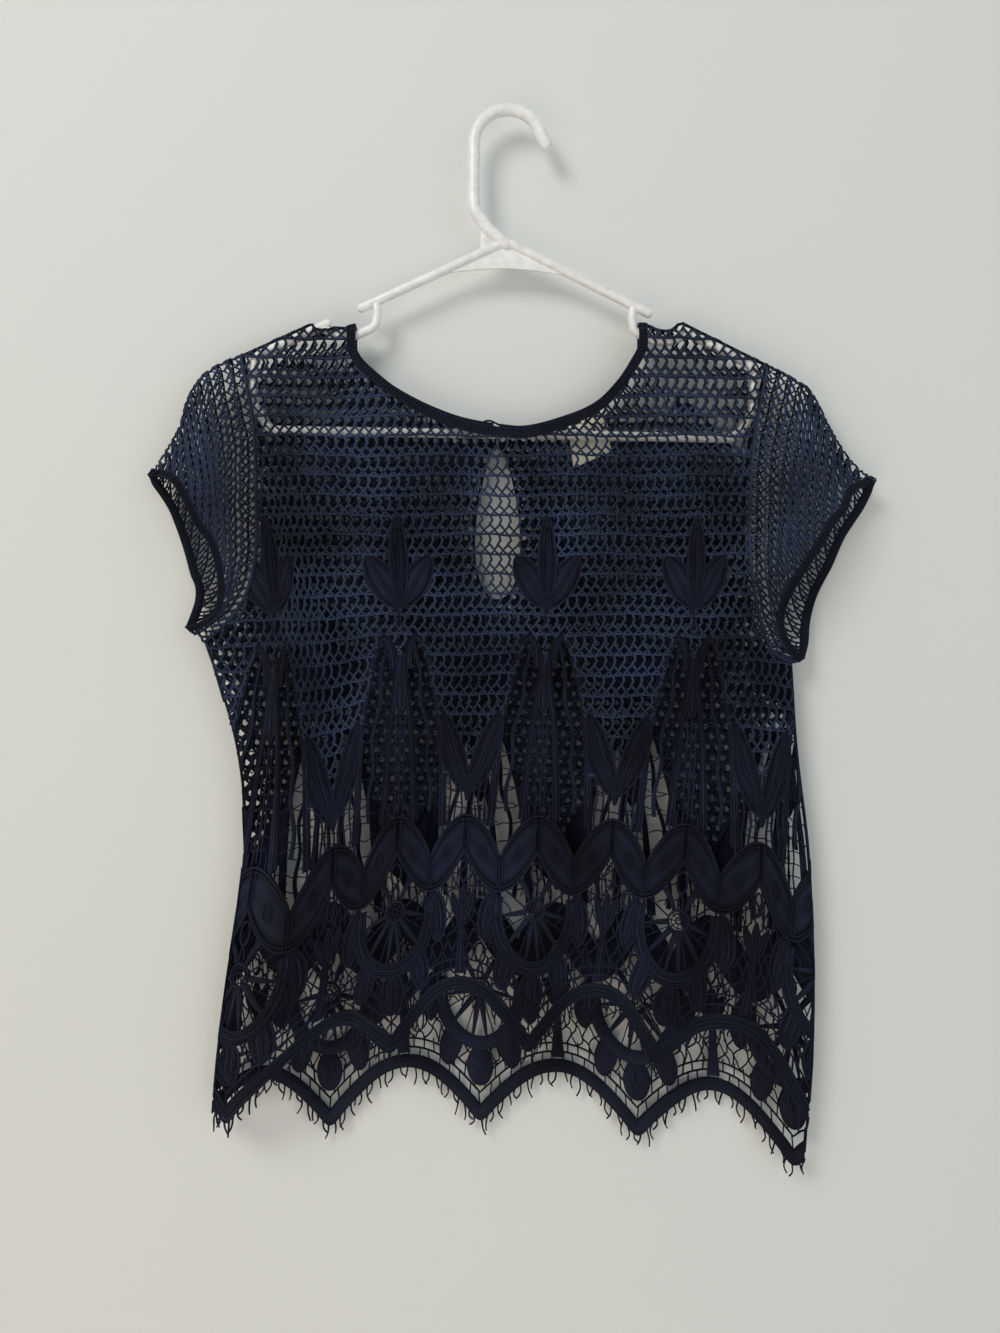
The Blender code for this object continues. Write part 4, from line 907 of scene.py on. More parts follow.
# %% Tables of one repeat
# the slit of an arch: (height, place of its inner edge, place of its outer edge)
SLIT = ((316, 12.5, 14), (300, 8.5, 20), (275, 9.5, 27), (245, 14, 33), (215, 17, 35),
        (185, 20, 36))
ARCH_OUTER = ((40.5, 172), (39, 196), (37.8, 218), (36, 246), (31.5, 274), (26, 297),
              (22.5, 310), (18.5, 318.5), (13.5, 321.5), (9, 317.5), (6.8, 308), (6, 297))
ARCH_OUTER_HALF = (3.5, 3.3, 3.2, 3.1, 3.2, 3.4)
ARCH_INNER = ((14, 178), (13, 200), (11.5, 222), (9.5, 248), (6.5, 270), (3.8, 290),
              (2.6, 308))
ARCH_INNER_HALF = (3.4, 3.2, 2.6, 2.2, 2.6, 2.4)
V_LEAF = dict(spine=((2, 199), (9, 216), (17, 237), (24.5, 263)), widest=20, blunt=0.62,
              lean=0.95)
SPRAY_SIDE = dict(spine=((1.5, 345), (8, 356), (16, 370), (25.5, 386)), widest=22.5,
                  blunt=0.6, lean=1.05)
SPRAY_MIDDLE = dict(spine=((0, 350), (0, 372), (0, 396), (0, 418)), widest=15,
                    blunt=0.6)
RING_SPINE = [(32.2 * math.cos(a), 108 - 45 * math.sin(a))
              for a in np.radians(np.arange(-12, 193, 6))]
EAR = ((34.5, 121), (38, 108), (40, 94), (39, 81))
PETAL_SIDE = ((20, 78), (22, 66), (24.5, 55), (25.5, 44))
PETAL_MIDDLE = ((0, 60), (0, 48), (0, 38), (0, 28.5))
WHEEL = (0, 108)               # the hub of the wheel
# spokes: (turn in degrees, reach from the hub's centre, half width, or 0 for a thread)
SPOKES = ((193, 27, 1.9), (214, 33, 0), (233, 38, 2.1), (253, 40, 0), (262, 40.5, 1.9))


def leaf_half(t, widest, blunt=0.75, lean=0.85):
    """Half width along a leaf, from its foot to its tip."""
    swell = np.sin(math.pi * np.clip(t, 0, 1) ** lean) ** blunt
    return np.maximum(widest / 2 * swell, 0.35)


def leaf_rim(spine, widest, blunt=0.75, lean=0.85):
    """A leaf's closed outline and its middle line."""
    line = spaced(spine, 2.4)
    half = leaf_half(np.linspace(0, 1, len(line)), widest, blunt, lean)
    return np.vstack([offset_line(line, -half), offset_line(line, half)[::-1]]), line


# %% Knit over a panel
KNIT_LOW = 214.0               # the knit's lowest height
# the ground that one half of an arch pair covers
ARCH_COVER = ((0, 200), (39, 200), (38, 222), (35, 247), (30, 274), (23, 300), (14, 327),
              (4, 316), (0, 300))


def knit_area(panel):
    """A test for flat points where the knit shows: inside the cut, and clear of the
    motifs, which are worked in its place."""
    taken = []
    for centre in panel.repeats:
        for side in (-1, 1):
            v_leaf = leaf_rim(**V_LEAF)[0]
            shapes = [(0, np.array(ARCH_COVER)), (0, leaf_rim(**SPRAY_SIDE)[0]),
                      (0, leaf_rim(**SPRAY_MIDDLE)[0]), (REPEAT / 2, v_leaf),
                      (-REPEAT / 2, v_leaf)]
            for beside, shape in shapes:
                taken.append(np.column_stack([centre + beside + side * shape[:, 0],
                                              shape[:, 1]]))

    def wanted(points):
        found = inside(points, panel.outline) & (points[:, 1] > KNIT_LOW)
        for shape in taken:
            found &= ~inside(points, shape)
        return found

    return wanted


def fullness(panel, lines):
    """How much thicker the thread is than at the shoulders. The back hangs slack below
    them, so its stitches close up."""
    below = roll_height(np.clip(lines[..., 0], -230, 230)) - panel.low - lines[..., 1]
    return 1.16 + (0.45 if panel is BACK else 0) * ease((below - 40) / 80)


def slack_area(panel):
    """Where the slack of the back lies in small pleats, and the net comes double."""
    knitted = knit_area(panel)

    def wanted(points):
        below = roll_height(np.clip(points[:, 0], -230, 230)) - panel.low - points[:, 1]
        start = 62 - 42 * ease((-70 - points[:, 0]) / 40)
        return knitted(points) & (below > start + 9 * np.sin(points[:, 0] / 13))

    return wanted


def knit_panel(panel, name, wanted, shift=0.0, lift=0.8):
    lace = panel_lace(panel)
    low, high = panel.outline.min(axis=0), panel.outline.max(axis=0)
    centre = panel.repeats[2]
    first = centre - math.ceil((centre - low[0]) / PITCH) * PITCH + shift * PITCH
    batches, crossing = knit_lines(first, high[0] + PITCH, KNIT_LOW + shift * ROW,
                                   high[1] + ROW)
    for lines, size, more in ((batches[0], 1.12, 0), (batches[1], 0.98, 0),
                              (batches[2], 0.98, 0), (crossing, 0.95, 0.3)):
        lines = trimmed(lines, wanted)
        lace.threads(lines, size * fullness(panel, lines), lift + more)
    return lace.build(name, KNIT_COTTON)


front_knit = knit_panel(FRONT, "front_knit", knit_area(FRONT))
back_knit = knit_panel(BACK, "back_knit", knit_area(BACK))
# the second layer is shifted by half a cell, and lies 1.6 mm in from the inner face
back_slack = knit_panel(BACK, "back_knit_slack", slack_area(BACK), 0.5, -1.6)

# %% [markdown]
# ## One repeat of the worked pattern
#
# The lower half is worked in repeats of 122 mm, one above each tip of the scalloped hem.
# Each repeat is symmetrical. From the top it has a spray of three leaves, a pair of tall
# narrow arches with a wavy thread in each, a zigzag band, and a wheel with spokes in a
# round frame, with small leaves about it. These are everyday shapes of guipure lace. Each
# is a short list of flat points, drawn on one side and mirrored.

# %% Profiles of leaves and bands
LEAF_CROWN = ((-1, 0.1), (-0.88, 1.35), (-0.72, 0.15), (-0.4, 1.5), (0, 0.7), (0.4, 1.5),
              (0.72, 0.15), (0.88, 1.35), (1, 0.1))
CORDED = ((-1, 0.1), (-0.78, 1.5), (-0.5, 0.1), (-0.22, 1.0), (0, 1.5), (0.22, 1.0),
          (0.5, 0.1), (0.78, 1.5), (1, 0.1))
SMOOTH = ((-1, 0.1), (-0.7, 0.9), (0, 1.3), (0.7, 0.9), (1, 0.1))


class Repeat:
    """Draws flat shapes of one repeat on a panel, at every repeat that it reaches."""

    def __init__(self, panel):
        self.panel, self.lace = panel, panel_lace(panel)
        self.shapes = 0

    def copies(self, points, mirrored=True, beside=False):
        """(copies, steps, 2) of these points, at each repeat and on each side of it."""
        points = np.asarray(points, float)
        shift = REPEAT / 2 if beside else 0
        sides = (-1, 1) if mirrored else (1,)
        # the places beside a repeat are shared with the next one, and drawn once
        centres = list(self.panel.repeats)
        if beside:
            centres = [centres[0] - REPEAT, *centres]
        made = [np.column_stack([centre + shift + side * points[:, 0], points[:, 1:]])
                for centre in centres for side in sides]
        return np.array(made)

    def thread(self, points, radius, lift=1.0, step=2.6, **where):
        line = spaced(points, step) if step else np.asarray(points, float)
        self.lace.threads(on_panel(self.panel, self.copies(line, **where)), radius, lift)

    def ring(self, centre, half_wide, half_tall, radius, lift=1.2, **where):
        turn = np.linspace(0, 2 * math.pi, 17)
        line = np.column_stack([centre[0] + half_wide * np.cos(turn),
                                centre[1] + half_tall * np.sin(turn)])
        self.thread(line, radius, lift, step=None, **where)

    def strip(self, spine, half, profile, lift=0.2, **where):
        """A strip along a spine, half wide at its shares: a number or a list."""
        line = spaced(spine, 2.8)
        widths = np.interp(np.linspace(0, 1, len(line)),
                           np.linspace(0, 1, np.size(half)), np.atleast_1d(half))
        self.edges(offset_line(line, -widths), offset_line(line, widths), profile, lift,
                   **where)

    def edges(self, one, other, profile, lift=0.2, **where):
        one, other = self.copies(one, **where), self.copies(other, **where)
        middle = (one + other) / 2
        here = inside(middle.reshape(-1, 2), self.panel.outline).reshape(one.shape[:2])
        here = here.any(axis=1)
        # shapes that overlap have their undersides at depths of their own
        self.shapes += 1
        under = -0.13 * (self.shapes % 9)
        for k in np.flatnonzero(here):
            self.lace.strips(one[k:k + 1], other[k:k + 1], profile, lift,
                             under - 0.05 * (k % 2))

    def leaf(self, spine, widest, blunt=0.75, lean=0.85, lift=0.2, cord=0.95, **where):
        """A crowned leaf with a cord round its edge and a vein."""
        rim, line = leaf_rim(spine, widest, blunt, lean)
        half = leaf_half(np.linspace(0, 1, len(line)), widest, blunt, lean)
        self.strip(spine, half, LEAF_CROWN, lift, **where)
        self.thread(rim, cord, lift + 0.9, step=2.4, **where)
        if widest > 12:
            inner = leaf_rim(spaced(spine, 2)[2:-3], widest - 6.5, blunt, lean)[0]
            self.thread(inner, 0.6, lift + 1.2, step=3, **where)
        self.thread(line[1:-2], 0.8, lift + 1.3, step=3, **where)


ZIGZAG = 61                    # from one peak of the zigzag band to the next


def zigzag_top(s):
    return 149 + 33 * np.abs(np.cos(math.pi * s / ZIGZAG)) ** 0.85


def zigzag_low(s):
    return 152 - 32 * np.abs(np.sin(math.pi * s / ZIGZAG)) ** 0.9


# %% Work the repeats
def work_spray(repeat):
    repeat.leaf(**SPRAY_SIDE)
    repeat.leaf(**SPRAY_MIDDLE, lift=0.5, mirrored=False)
    for aside in (2.6, 4.2):
        repeat.thread(((aside * 0.4, 352), (aside, 372), (aside * 0.9, 392), (0.6, 408)),
                      0.5, 2.3)
    repeat.leaf(((0, 352), (-1.5, 343), (0, 334)), 6.5, mirrored=False)
    repeat.ring((0, 329), 3.4, 4, 0.8, mirrored=False)


def work_arches(repeat):
    repeat.strip(ARCH_OUTER, ARCH_OUTER_HALF, CORDED)
    repeat.strip(ARCH_INNER, ARCH_INNER_HALF, CORDED)
    repeat.leaf(((0, 262), (0, 276), (0, 292)), 9, mirrored=False)
    repeat.strip(((0, 290), (0, 306), (0, 318)), (2.4, 3.6, 1.2), CORDED, mirrored=False)
    heights = np.arange(184, 318, 3.0)
    inner, outer = lookup(heights, SLIT, 1), lookup(heights, SLIT, 2)
    middle = (inner + outer) / 2 + 1.5 * np.sin(heights / 7.5)
    repeat.strip(np.column_stack([middle, heights]), (1.9, 1.5, 1.7, 1.2), SMOOTH)
    for count, h in enumerate(np.arange(190, 312, 13.5)):
        for edge, lean in ((1, -1.5), (2, 2.5)):
            side = float(lookup(h, SLIT, edge))
            core = float((lookup(h, SLIT, 1) + lookup(h, SLIT, 2)) / 2)
            repeat.thread(((side + (0.8 if edge == 2 else -0.8), h + lean),
                           ((side + core) / 2, h + 0.6 * (-1) ** count), (core, h)), 0.62)
    for aside in (0, 3.6):
        repeat.thread([(aside + 0.5 * math.sin(h / 4), h)
                       for h in range(184, 264, 5)], 0.85)
    for h in range(192, 262, 9):
        repeat.thread(((0, h), (4, h + 0.7), (8.4, h - 0.5)), 0.6)


def work_v_leaves(repeat):
    repeat.leaf(**V_LEAF, beside=True)
    inner = [(s * 0.92 + 0.6, h + 1) for s, h in V_LEAF["spine"]]
    for aside in (-4.6, 4.6):
        repeat.thread(offset_line(spaced(inner, 4), aside)[2:-3], 0.5, 1.7, beside=True)
    repeat.leaf(((0, 192), (0, 202), (0, 216)), 5.5, mirrored=False, beside=True)
    # upright threads and short bridges between the leaves and the zigzag band
    for s in (5, 10, 15.5, 21):
        top = 203 + 2.6 * (s - 5) * 0.5
        foot = float(zigzag_top(ZIGZAG - s)) - 1
        repeat.thread([(s + 0.8 * math.sin(h / 5 + s), h)
                       for h in np.linspace(foot, top, 8)], 0.95, beside=True)
        for h in np.arange(foot + 10, top - 4, 11.5):
            repeat.thread(((s, h), (s + 2.6, h + 1.2), (s + 5.4, h - 0.4)), 0.6,
                          beside=True)
    for s in (3.5, 8.5, 13.5):
        foot = float(zigzag_top(s)) - 1
        repeat.thread([(s + 0.5 * math.sin(h / 4), h)
                       for h in np.linspace(foot, 190, 4)], 0.9)


def work_zigzag(repeat):
    s = np.linspace(0, ZIGZAG, 31)
    top, low = zigzag_top(s), zigzag_low(s)
    across = ((-1, 0.1), (-0.93, 1.3), (-0.82, 0.0), (-0.42, 1.5), (0, 0.8), (0.42, 1.5),
              (0.82, 0.0), (0.93, 1.3), (1, 0.1))
    repeat.edges(np.column_stack([s, top]), np.column_stack([s, low]), across)
    for line, inset in ((top, -1), (low, 1), (top, -4), (low, 4)):
        size = 0.95 if abs(inset) == 1 else 0.75
        repeat.thread(np.column_stack([s, line + inset]), size, 1.7, step=None)
    for peak in (0, ZIGZAG / 2, ZIGZAG):
        high, foot = float(zigzag_top(peak)) - 3, float(zigzag_low(peak)) + 3
        for aside in (-2.1, 0, 2.1):
            if 0 <= peak + aside <= ZIGZAG:
                repeat.thread(((peak + aside * 1.2, high), (peak + aside, foot)), 0.75,
                              1.9)
    # the little curl in the middle of each leg
    turn = np.linspace(0, 2 * math.pi, 12)
    for middle in (15.5, 45.5):
        centre_h = float(zigzag_top(middle) + zigzag_low(middle)) / 2
        line = np.column_stack([middle + 3 * np.cos(turn), centre_h + 6.5 * np.sin(turn)])
        repeat.thread(line, 0.5, 1.9, step=None)


def work_wheel(repeat):
    repeat.strip(RING_SPINE, 5.4, CORDED, mirrored=False)
    for aside in (-5.0, -2.2, 2.4, 5.0):
        repeat.thread(offset_line(spaced(RING_SPINE, 3), aside), 0.7, 1.6, step=None,
                      mirrored=False)
    repeat.ring(WHEEL, 8, 8, 1.3, mirrored=False)
    repeat.ring(WHEEL, 5.6, 5.6, 0.7, mirrored=False)
    repeat.ring(WHEEL, 2.2, 2.2, 0.8, mirrored=False)
    for degrees in range(0, 360, 45):
        a = math.radians(degrees)
        repeat.thread([(r * math.cos(a), WHEEL[1] + r * math.sin(a))
                       for r in (2.4, 4, 5.6, 7.6)], 0.6, mirrored=False)
    for degrees, reach, half in SPOKES:
        a = math.radians(degrees)
        line = [(-r * math.cos(a), WHEEL[1] + r * math.sin(a))
                for r in np.linspace(7, reach, 5)]
        if half:
            repeat.strip(line, (half * 1.3, half, half * 0.5), SMOOTH)
        else:
            repeat.thread(line, 0.62)
    # above the hub: a drop, and two stems that spread to the zigzag band
    repeat.ring((0, 137), 4.2, 8, 1.0, mirrored=False)
    repeat.strip(((4, 115), (8, 124), (13, 131)), (1.6, 2.1, 2.6), SMOOTH)
    repeat.thread(((8, 110), (15, 115), (24, 122)), 0.8)
    repeat.thread(((1.5, 116), (2, 123), (0, 129)), 0.9)
    repeat.thread(((12, 118), (10, 128), (11, 140)), 0.6)
    repeat.thread(((17, 96), (21, 100), (27, 99)), 0.6)
    repeat.thread(((21, 100), (20, 108), (27, 114)), 0.6)


def work_small_leaves(repeat):
    repeat.leaf(EAR, 15, blunt=0.5, lean=1.0)
    repeat.leaf(PETAL_SIDE, 16.5, blunt=0.5, lean=1.0)
    repeat.leaf(PETAL_MIDDLE, 20, blunt=0.45, lean=1.0, mirrored=False)
    repeat.ring((0, 44), 5, 8, 0.55, 1.9, mirrored=False)
    # the stem between two wheels, with its bud
    repeat.strip(((0, 99), (0, 80), (0, 56)), (2.6, 3.4, 5.2), CORDED, mirrored=False,
                 beside=True)
    repeat.leaf(((1.5, 97), (5, 108), (9.5, 120)), 6.5, beside=True)
    repeat.ring((0, 137), 3.2, 8.5, 1.0, mirrored=False, beside=True)
    repeat.leaf(((0, 104), (0, 113), (0, 124)), 6, mirrored=False, beside=True)
    for s, low, high in ((5.5, 122, 140), (9.5, 121, 134), (14, 117, 127)):
        repeat.thread(((s - 1, low), (s, (low + high) / 2), (s - 0.5, high)), 0.7,
                      beside=True)


# %% [markdown]
# ## The filling net and the hem
#
# Between the motifs runs a coarse uneven net: two sets of slanting threads that cross.
# Along the hem two more threads follow the scallops, with short bridges between them, and
# below them comes the band: three cords side by side, with the fringe hanging from its
# edge. The fringe is yarn ends about 12 mm long that have curled in the wash.

# %% Net and hem
def net_area(panel):
    fine = np.linspace(panel.outline[:, 0].min(), panel.outline[:, 0].max(), 500)
    rows = raised_edge(fine, panel.repeats[2], 24)

    def wanted(points):
        s, h = points[:, 0], points[:, 1]
        offset = (s - panel.repeats[0] + REPEAT / 2) % REPEAT - REPEAT / 2
        found = inside(points, panel.outline) & (h < zigzag_low(offset) + 3)
        wheel = (offset / 30) ** 2 + ((np.minimum(h, 108) - 108) / 42) ** 2 < 1
        # along the hem run two rows of square cells instead
        return found & ~wheel & (h > np.interp(s, fine, rows))
    return wanted


def shaken(s, h):
    """The coarse net's places, moved a little so that its cells are uneven."""
    return np.stack([s + 1.5 * np.sin(s / 3.1 + h / 4.7),
                     h + 1.5 * np.sin(s / 5.3 - h / 2.9)], axis=-1)


def work_net(repeat, pitch=9.2):
    panel = repeat.panel
    low, high = panel.outline.min(axis=0), panel.outline.max(axis=0)
    columns = np.arange(low[0] - 20, high[0] + 20, pitch)
    rows = np.arange(4, 156, pitch * 0.95)
    s, h = [grid.reshape(-1, 1) for grid in np.meshgrid(columns, rows)]
    s = s + pitch / 2 * (np.round(h / (pitch * 0.95)) % 2)
    share = np.linspace(0, 1, 4)
    for side in (-1, 1):
        bow = 0.9 * np.sin(math.pi * share)
        lines = shaken(s + side * share * pitch / 2 + bow, h + share * pitch * 0.95)
        repeat.lace.threads(trimmed(lines, net_area(panel)), 0.78, lift=0.6)


def hem_strip(panel, above, half, step):
    """Two edge lines along the hem, for a strip whose middle is this far up."""
    lower = hem_line(panel.sides, panel.repeats[2], above - half, step)
    s = lower[:, 0]
    upper = np.column_stack([s, raised_edge(s, panel.repeats[2], above + half)])
    return lower, upper


def work_hem_rows(repeat):
    panel = repeat.panel
    for above, size in ((16.5, 0.95), (23.5, 0.85)):
        line = hem_line(panel.sides, panel.repeats[2], above, 3)
        repeat.lace.threads([line], size, lift=1.0)
    lower = hem_line(panel.sides, panel.repeats[2], 8.6, 8.0)
    for near, far, shift in ((8.6, 16.7, 0.0), (16.5, 26.5, 4.0)):
        s = lower[1:-1, 0] + shift
        start = np.column_stack([s, raised_edge(s, panel.repeats[2], near)])
        end_s = s + 1.2 * np.sin(s / 3)
        end = np.column_stack([end_s, raised_edge(end_s, panel.repeats[2], far)])
        share = np.linspace(0, 1, 3)[:, None]
        lines = start[:, None] + (end - start)[:, None] * share
        repeat.lace.threads(on_panel(panel, lines), 0.8, lift=0.9)


def hem_piece(panel, name, node):
    lace = panel_lace(panel)
    lower, upper = hem_strip(panel, HEM_BAND_WIDE / 2, HEM_BAND_WIDE / 2, 2.5)
    across = np.linspace(-1, 1, 19)
    profile = [(a, 0.5 + 1.1 * abs(math.cos(1.5 * math.pi * a)) ** 0.7) for a in across]
    lace.strips([lower], [upper], profile, lift=0.0)
    for share in (0.0, 0.5, 1.0):
        line = lower + (upper - lower) * share
        lace.threads([line], 0.85, lift=1.75)
    edge = spaced(lower, 6.3)
    count = len(edge)
    number = np.arange(count)
    share = np.linspace(0, 1, 6)
    long = 11.5 + 2.5 * np.sin(number * 1.7)
    sway = 3.2 * np.sin(number * 2.4)
    curl = 2.7 * np.sin(number * 3.9)
    s = edge[:, :1] + sway[:, None] * share + curl[:, None] * np.sin(3.6 * share) * share
    h = edge[:, 1:] + 1 - long[:, None] * share + 1.6 * np.cos(number)[:, None] * share ** 2
    lift = 1.2 + 0.9 * np.cos(number * 1.3)[:, None] * share
    size = 1.0 * (1 - 0.3 * share)
    lace.threads(np.stack([s, h, lift], axis=-1), size)
    return lace.build(name, BAND_COTTON, (node,), "black_rib")


def motif_panel(panel, name, node):
    repeat = Repeat(panel)
    for work in (work_spray, work_arches, work_v_leaves, work_zigzag, work_wheel,
                 work_small_leaves, work_net, work_hem_rows):
        work(repeat)
    return repeat.lace.build(name, LEAF_COTTON, (node,))


front_motifs = motif_panel(FRONT, "front_motifs", "front_panel")
back_motifs = motif_panel(BACK, "back_motifs", "back_panel")
front_hem = hem_piece(FRONT, "front_hem_and_fringe", "front_hem")
back_hem = hem_piece(BACK, "back_hem_and_fringe", "back_hem")

# %% [markdown]
# ## Sleeves and cuffs
#
# Each cap sleeve is a short tube of net, sewn into the armhole, that folds over the end of
# the shoulder and hangs open. Its surface is blended between its four edge lines: the
# armhole, the fold on top, the underarm and the cuff. The net is drawn on it in
# millimetres round the armhole and out from it, and the ribbed cuff lies at its mouth.

# %% Sleeve tables
LEFT_SLEEVE_TOP = ((-209.6, -190.4), (-222.4, -194.8), (-240.6, -204.8), (-251, -218),
                   (-256.3, -229.5), (-261, -247), (-272.5, -267), (-281.5, -281),
                   (-287, -286))
LEFT_CUFF_FRONT = ((-287, -286), (-271, -289.5), (-264, -294), (-253, -310),
                   (-242, -330.5), (-232, -343.5), (-227.5, -359), (-226, -372),
                   (-227, -386), (-233, -398), (-246, -403.5), (-257, -406))
LEFT_CUFF_BACK = ((-287, -286), (-283, -297), (-276.5, -306.5), (-270, -323),
                  (-262.5, -346), (-257.5, -363), (-252, -377), (-253, -390), (-257, -406))
LEFT_SLEEVE_LOW = ((-241, -419.5), (-249, -413), (-257, -406))
RIGHT_SLEEVE_TOP = ((205.5, -198), (220.5, -205), (234.5, -213), (240.3, -217),
                    (247.7, -228.7), (256.3, -246), (267.9, -265.6), (277.6, -278),
                    (291, -288.5), (295, -291))
RIGHT_CUFF_FRONT = ((295, -291), (286, -295), (272.5, -302.3), (265.6, -317.5),
                    (255.4, -327.8), (247, -343), (238.5, -355), (228, -372),
                    (219.6, -387.5), (216.8, -402.7), (222, -418), (238, -431))
RIGHT_CUFF_BACK = ((295, -291), (289, -310), (275.2, -333), (264.7, -357.5),
                   (252.4, -380.4), (245.5, -401.5), (242.8, -418), (238, -431))
RIGHT_SLEEVE_LOW = ((227, -435), (232.5, -434), (238, -431))
CUFF_BULGES = (20.0, 13.0)     # at the front and at the back
CUFF_FOLD = 2.6
FOLD_TURNS = (90, 60, 30, 0)   # degrees round the fold at the cuff
ARMHOLE_TURNS = (88, 60, 30, 0)
FOLD_SHARES = (0, 0.012, 0.03, 0.055)
ROWS = 14
COLUMNS = 15


# %% The sleeve's surface
def sleeve_row(side, row):
    """World points from the armhole to the cuff on one row, for u from 0 to 1."""
    facing = -1 if row < 0 else 1
    place, low, lines = (front, FRONT_LOW, FRONT_LINES) if row < 0 else \
        (back, BACK_LOW, BACK_LINES)
    edge = LEFT_ARMHOLE if side < 0 else RIGHT_ARMHOLE
    row, rest = abs(row), ROWS - len(FOLD_TURNS) + 1
    if row < len(FOLD_TURNS):
        share = FOLD_SHARES[row]
        turn = ARMHOLE_TURNS[row]
        start = place(np.array(edge[0][0]), over_roll(edge[0][0], low, turn))
    else:
        step = (row - len(FOLD_TURNS) + 1) / rest
        share = FOLD_SHARES[-1] + (1 - FOLD_SHARES[-1]) * step
        start = place(*flat_place(*along(edge, step), low, lines))
    depth = 0.0 if row == 0 else abs(start[1]) / MM
    arm = np.array((start[0] / MM + side * 1.3 * SEAM, start[2] / MM))
    if side < 0:
        top, under = LEFT_SLEEVE_TOP, LEFT_SLEEVE_LOW
        cuff = LEFT_CUFF_FRONT if facing < 0 else LEFT_CUFF_BACK
    else:
        top, under = RIGHT_SLEEVE_TOP, RIGHT_SLEEVE_LOW
        cuff = RIGHT_CUFF_FRONT if facing < 0 else RIGHT_CUFF_BACK
    u = np.linspace(0, 1, COLUMNS)[:, None]
    corners = (((1 - u) * top[0] + u * cuff[0]) * (1 - share)
               + ((1 - u) * under[0] + u * cuff[-1]) * share)
    flat = ((1 - u) * arm + u * along(cuff, share) + (1 - share) * along(top, u[:, 0])
            + share * along(under, u[:, 0]) - corners)
    if row < len(FOLD_TURNS):
        mouth = CUFF_FOLD * math.cos(math.radians(FOLD_TURNS[row]))
    else:
        swell = math.sin(math.pi * share) ** 0.8
        bulge = CUFF_BULGES[0 if facing < 0 else 1]
        mouth = max(SEAM / 2, CUFF_FOLD * (1 - share)
                    + bulge * swell * float(ease((1 - share) / 0.1)))
    out = (1 - u) * depth + u * mouth
    out = out + 5 * np.sin(math.pi * u) * abs(math.sin(math.pi * share)) ** 0.7
    return np.column_stack([flat[:, 0], facing * out[:, 0], flat[:, 1]]) * MM


class Sleeve:
    """A sleeve's surface, by millimetres round the armhole and out from it."""

    def __init__(self, side):
        self.side = side
        self.grid = np.array([sleeve_row(side, row) for row in range(-ROWS, ROWS + 1)])
        middle = self.grid[:, COLUMNS // 3]
        steps = np.linalg.norm(np.diff(middle, axis=0), axis=1)
        self.reach = np.concatenate([[0], np.cumsum(steps)]) / MM
        self.long = np.linalg.norm(np.diff(self.grid, axis=1), axis=2).sum(axis=1) / MM
        probe = self.normal(np.array([self.reach[7]]), np.array([20.0]), 1)
        self.sign = -1 if probe[0, 1] > 0 else 1

    def width(self, s):
        return np.interp(s, self.reach, self.long)

    def place(self, s, h):
        row = np.interp(s, self.reach, np.arange(len(self.reach)))
        column = np.clip(h / self.width(s), 0, 1) * (COLUMNS - 1)
        i = np.clip(column, 0, COLUMNS - 1 - 1e-6).astype(int)
        t = (column - i)[..., None]
        near = smooth_column(self.grid, row, i)
        far = smooth_column(self.grid, row, i + 1)
        return near + (far - near) * t

    def normal(self, s, h, sign=None):
        inner = np.clip(h, 0.6, self.width(s) - 0.6)
        middle = np.clip(s, self.reach[0] + 0.6, self.reach[-1] - 0.6)
        across = self.place(middle + 0.5, inner) - self.place(middle - 0.5, inner)
        up = self.place(middle, inner + 0.5) - self.place(middle, inner - 0.5)
        return square(np.cross(across, up)) * (self.sign if sign is None else sign)


def smooth_column(grid, row, column):
    last = grid.shape[0] - 1
    row = np.clip(row, 0, last - 1e-6)
    i = row.astype(int)
    t = (row - i)[..., None]
    a, b = grid[np.maximum(i - 1, 0), column], grid[i, column]
    c, d = grid[i + 1, column], grid[np.minimum(i + 2, last), column]
    bend = 2 * a - 5 * b + 4 * c - d + t * (3 * (b - c) + d - a)
    return b + 0.5 * t * (c - a + t * bend)


# %% Knit the sleeves
SLEEVE_PITCH = 6.6
SLEEVE_ROW = 10.4


